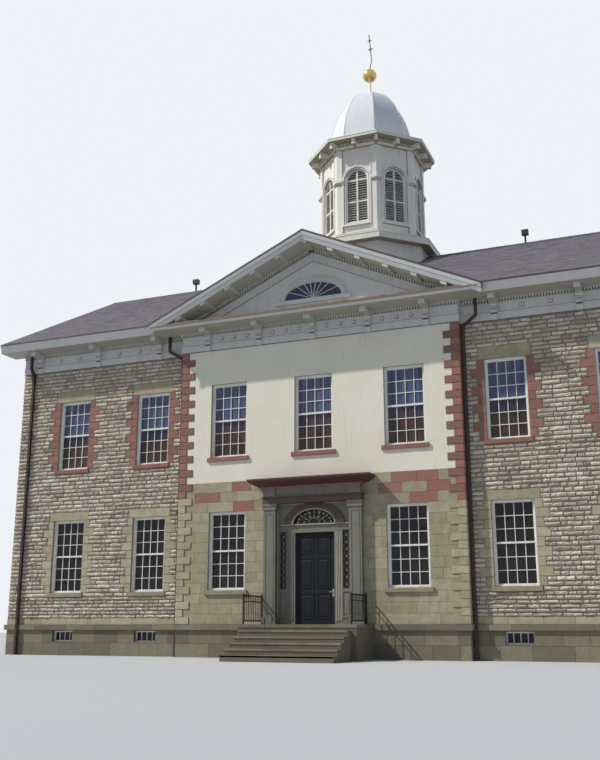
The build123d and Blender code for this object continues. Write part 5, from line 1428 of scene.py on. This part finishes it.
# Entrance
def entrance():
    """Trims of the fanlight, of the case with its sidelights, and of the pilasters."""
    cream, brown, grey = Piece(), Piece(), Piece()

    def fan(wider, taller):
        return arc(FAN_HALF + wider, FAN_RISE + taller, FAN_FOOT)

    # Arch: a brown surround, a thin cream line and small petals between the bars
    brown.band(CENTRE, fan(0.02, 0.02), fan(0.32, 0.22), (CASE + 0.065, CASE + 0.078))
    cream.band(CENTRE, fan(-0.008, -0.008), fan(0.026, 0.026), (CASE + 0.06, CASE + 0.086))
    for share, count in ((0.50, 7), (0.80, 11)):
        for step in range(count):
            turn = math.pi * (step + 0.5) / count
            u = share * FAN_HALF * math.cos(turn)
            z = FAN_FOOT + share * FAN_RISE * math.sin(turn)
            petal = [(u + a * 0.035, z + b * 0.035) for a, b in ((1, 0), (0, 1), (-1, 0), (0, -1))]
            cream.panel(CENTRE, petal, (CASE - 0.03, CASE - 0.004))
    # Strip over the doorway, then flutes and a frame to each side of the door
    cream.face_box(CENTRE, (-1.22, 1.22), (4.20, 4.228), (CASE + 0.04, CASE + 0.052))
    # The flutes are alike: grey on the left is painted shade, cream on the right painted sunlight
    for side, shaded_or_lit in ((-1, grey), (1, cream)):
        for index in range(4):
            u = side * (0.755 + 0.055 * index)
            shaded_or_lit.face_box(CENTRE, around(u, 0.014), (1.16, 3.94), (CASE - 0.004, CASE + 0.016))
        low, high = us = sided(side, 0.94, 1.235)
        ds = (CASE - 0.004, CASE + 0.022)
        for strip in ((low, low + 0.035), (high - 0.035, high)):
            grey.face_box(CENTRE, strip, (1.25, 4.06), ds)
        for zs in ((1.25, 1.30), (2.06, 2.12), (4.01, 4.06)):
            grey.face_box(CENTRE, inset(us, 0.035), zs, ds)
        grey.face_box(CENTRE, inset(us, 0.075), (1.38, 1.98), (CASE - 0.004, CASE + 0.012))
        # Lattice over the sidelights, with a small boss at each crossing
        left, right = sided(side, 0.985, 1.195)
        back = CASE - 0.040
        for row in range(8):
            foot = 2.18 + row * LATTICE_PITCH
            head = min(foot + LATTICE_PITCH, 3.98)
            for a, b in ((left, right), (right, left)):
                outline = [(a, foot - 0.006), (b, head - 0.006), (b, head + 0.006), (a, foot + 0.006)]
                grey.panel(CENTRE, outline, (back, back + 0.010))
            boss = disc((left + right) / 2, (foot + head) / 2, 0.020, 8)
            cream.panel(CENTRE, boss, (back, back + 0.020))
            for u in inset((left, right), 0.01):
                grey.panel(CENTRE, disc(u, head, 0.013, 8), (back, back + 0.016))
    for x in (-PILASTER_PLACE, PILASTER_PLACE):
        grey.border(CENTRE, around(x, 0.15), (1.40, 4.60), 0.025, (0.208, 0.222))
    cream.make("fanlight_trim", DOORCASE_TRIM, "doorcase_wood")
    brown.make("arch_surround", ARCH_PAINT, "doorcase_wood")
    grey.make("doorcase_mouldings", DOORCASE_PAINT, "doorcase_wood")


def door_panels():
    """Three pairs of raised panels on both faces of the leaf."""
    piece = Piece()
    low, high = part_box("front_door")
    back = -0.003
    for out, face_y in ((-1, low.y), (1, high.y)):
        face = Face(0.0, face_y, (0, out))
        for left, right in ((low.x + 0.13, -0.05), (0.05, high.x - 0.19)):
            us = sided(-out, left, right)
            for zs in DOOR_PANELS:
                piece.border(face, us, zs, 0.028, (back, 0.012))
                middle = inset(us, 0.075), inset(zs, 0.075)
                stone(piece, face, *middle, back, 0.009, 0.022, 0.0, 0.5, random.Random(41), (1, 1))
    piece.make("door_panels", DOOR_PAINT, "door_paint", body="door")


def pipe_straps():
    """Collars round the upright pipes."""
    piece = Piece()
    for low, high in solid_boxes("downspouts"):
        at_front, at_left = low[1] < RIDGE_Y, high[0] < 0
        x, y = high[0] if at_left else low[0], high[1] if at_front else low[1]
        xs = sorted((x, x - PIPE_WIDTH if at_left else x + PIPE_WIDTH))
        ys = sorted((y, y - PIPE_WIDTH if at_front else y + PIPE_WIDTH))
        xs, ys = inset(xs, -0.012), inset(ys, -0.012)
        for level in STRAP_LEVELS:
            piece.box((xs[0], ys[0], level), (xs[1], ys[1], level + 0.05))
    piece.make("pipe_straps", PIPE_PAINT, "pipe_paint")


def railing_caps():
    """Pointed caps on the posts, and a thin bar under each rail."""
    piece = Piece()
    low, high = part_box("railings")
    for x in (low.x + 0.02, high.x - 0.02):
        for y in inset((low.y, high.y), 0.02):
            base = [(x + a * 0.032, y + b * 0.032) for a, b in ((-1, -1), (1, -1), (1, 1), (-1, 1))]
            points = [(a, b, z) for z in (high.z - 0.002, high.z + 0.02) for a, b in base]
            points.append((x, y, high.z + 0.07))
            sides = [(i, (i + 1) % 4, (i + 1) % 4 + 4, i + 4) for i in range(4)]
            tips = [(i + 4, (i + 1) % 4 + 4, 8) for i in range(4)]
            piece.add(points, [(3, 2, 1, 0)] + sides + tips)
        piece.box((x - 0.014, low.y + 0.04, high.z - 0.21), (x + 0.014, high.y - 0.04, high.z - 0.185))
    piece.make("railing_caps", IRON, "railing_iron")


entrance()
door_panels()
pipe_straps()
railing_caps()


# Camera, light and floor
def camera():
    data = bpy.data.cameras.new("photo_camera")
    data.lens = CAMERA_LENS
    data.sensor_width = SENSOR
    data.clip_end = 500.0
    eye = bpy.data.objects.new("photo_camera", data)
    eye.location = CAMERA_PLACE
    eye.rotation_euler = [math.radians(a) for a in (CAMERA_PITCH, CAMERA_ROLL, CAMERA_TURN)]
    bpy.context.scene.collection.objects.link(eye)
    bpy.context.scene.camera = eye


def sun():
    data = bpy.data.lights.new("sun", "SUN")
    data.energy = SUN_STRENGTH
    data.color = SUN_COLOUR
    data.angle = math.radians(SUN_ANGLE)
    lamp = bpy.data.objects.new("sun", data)
    azimuth, height = math.radians(SUN_AZIMUTH), math.radians(SUN_HEIGHT)
    level = math.cos(height)
    toward = Vector((-math.sin(azimuth) * level, -math.cos(azimuth) * level, math.sin(height)))
    lamp.rotation_mode = "QUATERNION"
    lamp.rotation_quaternion = toward.to_track_quat("Z", "Y")
    bpy.context.scene.collection.objects.link(lamp)


def sky():
    """Even light for the object, and a pale background for the camera, gloss and glass."""
    world = bpy.data.worlds.new("sky")
    world.use_nodes = True
    bpy.context.scene.world = world
    tree = world.node_tree
    tree.nodes.clear()
    path = add_node(tree, "ShaderNodeLightPath")
    seen = math_node(tree, "MAXIMUM", path.outputs["Is Camera Ray"], path.outputs["Is Glossy Ray"])
    seen = math_node(tree, "MAXIMUM", seen, path.outputs["Is Transmission Ray"])
    light = add_node(tree, "ShaderNodeBackground", {"Color": (*SKY_COLOUR, 1.0), "Strength": SKY_LIGHT})
    view = add_node(tree, "ShaderNodeBackground", {"Color": (*BACKGROUND, 1.0), "Strength": 1.0})
    both = add_node(tree, "ShaderNodeMixShader", {0: seen, 1: light.outputs[0], 2: view.outputs[0]})
    add_node(tree, "ShaderNodeOutputWorld", {"Surface": both.outputs[0]})


def floor():
    mesh = bpy.data.meshes.new("floor")
    corners = [(x, y, 0) for x, y in ((-1, -1), (1, -1), (1, 1), (-1, 1))]
    mesh.from_pydata([Vector(corner) * FLOOR_SIZE / 2 for corner in corners], [], [(0, 1, 2, 3)])
    material, _, shader = surface("floor", 0.95)
    shader.inputs["Base Color"].default_value = (*FLOOR_COLOUR, 1.0)
    mesh.materials.append(material)
    plane = bpy.data.objects.new("floor", mesh)
    bpy.context.scene.collection.objects.link(plane)


camera()
sun()
sky()
floor()
bpy.context.scene.view_settings.view_transform = "Standard"
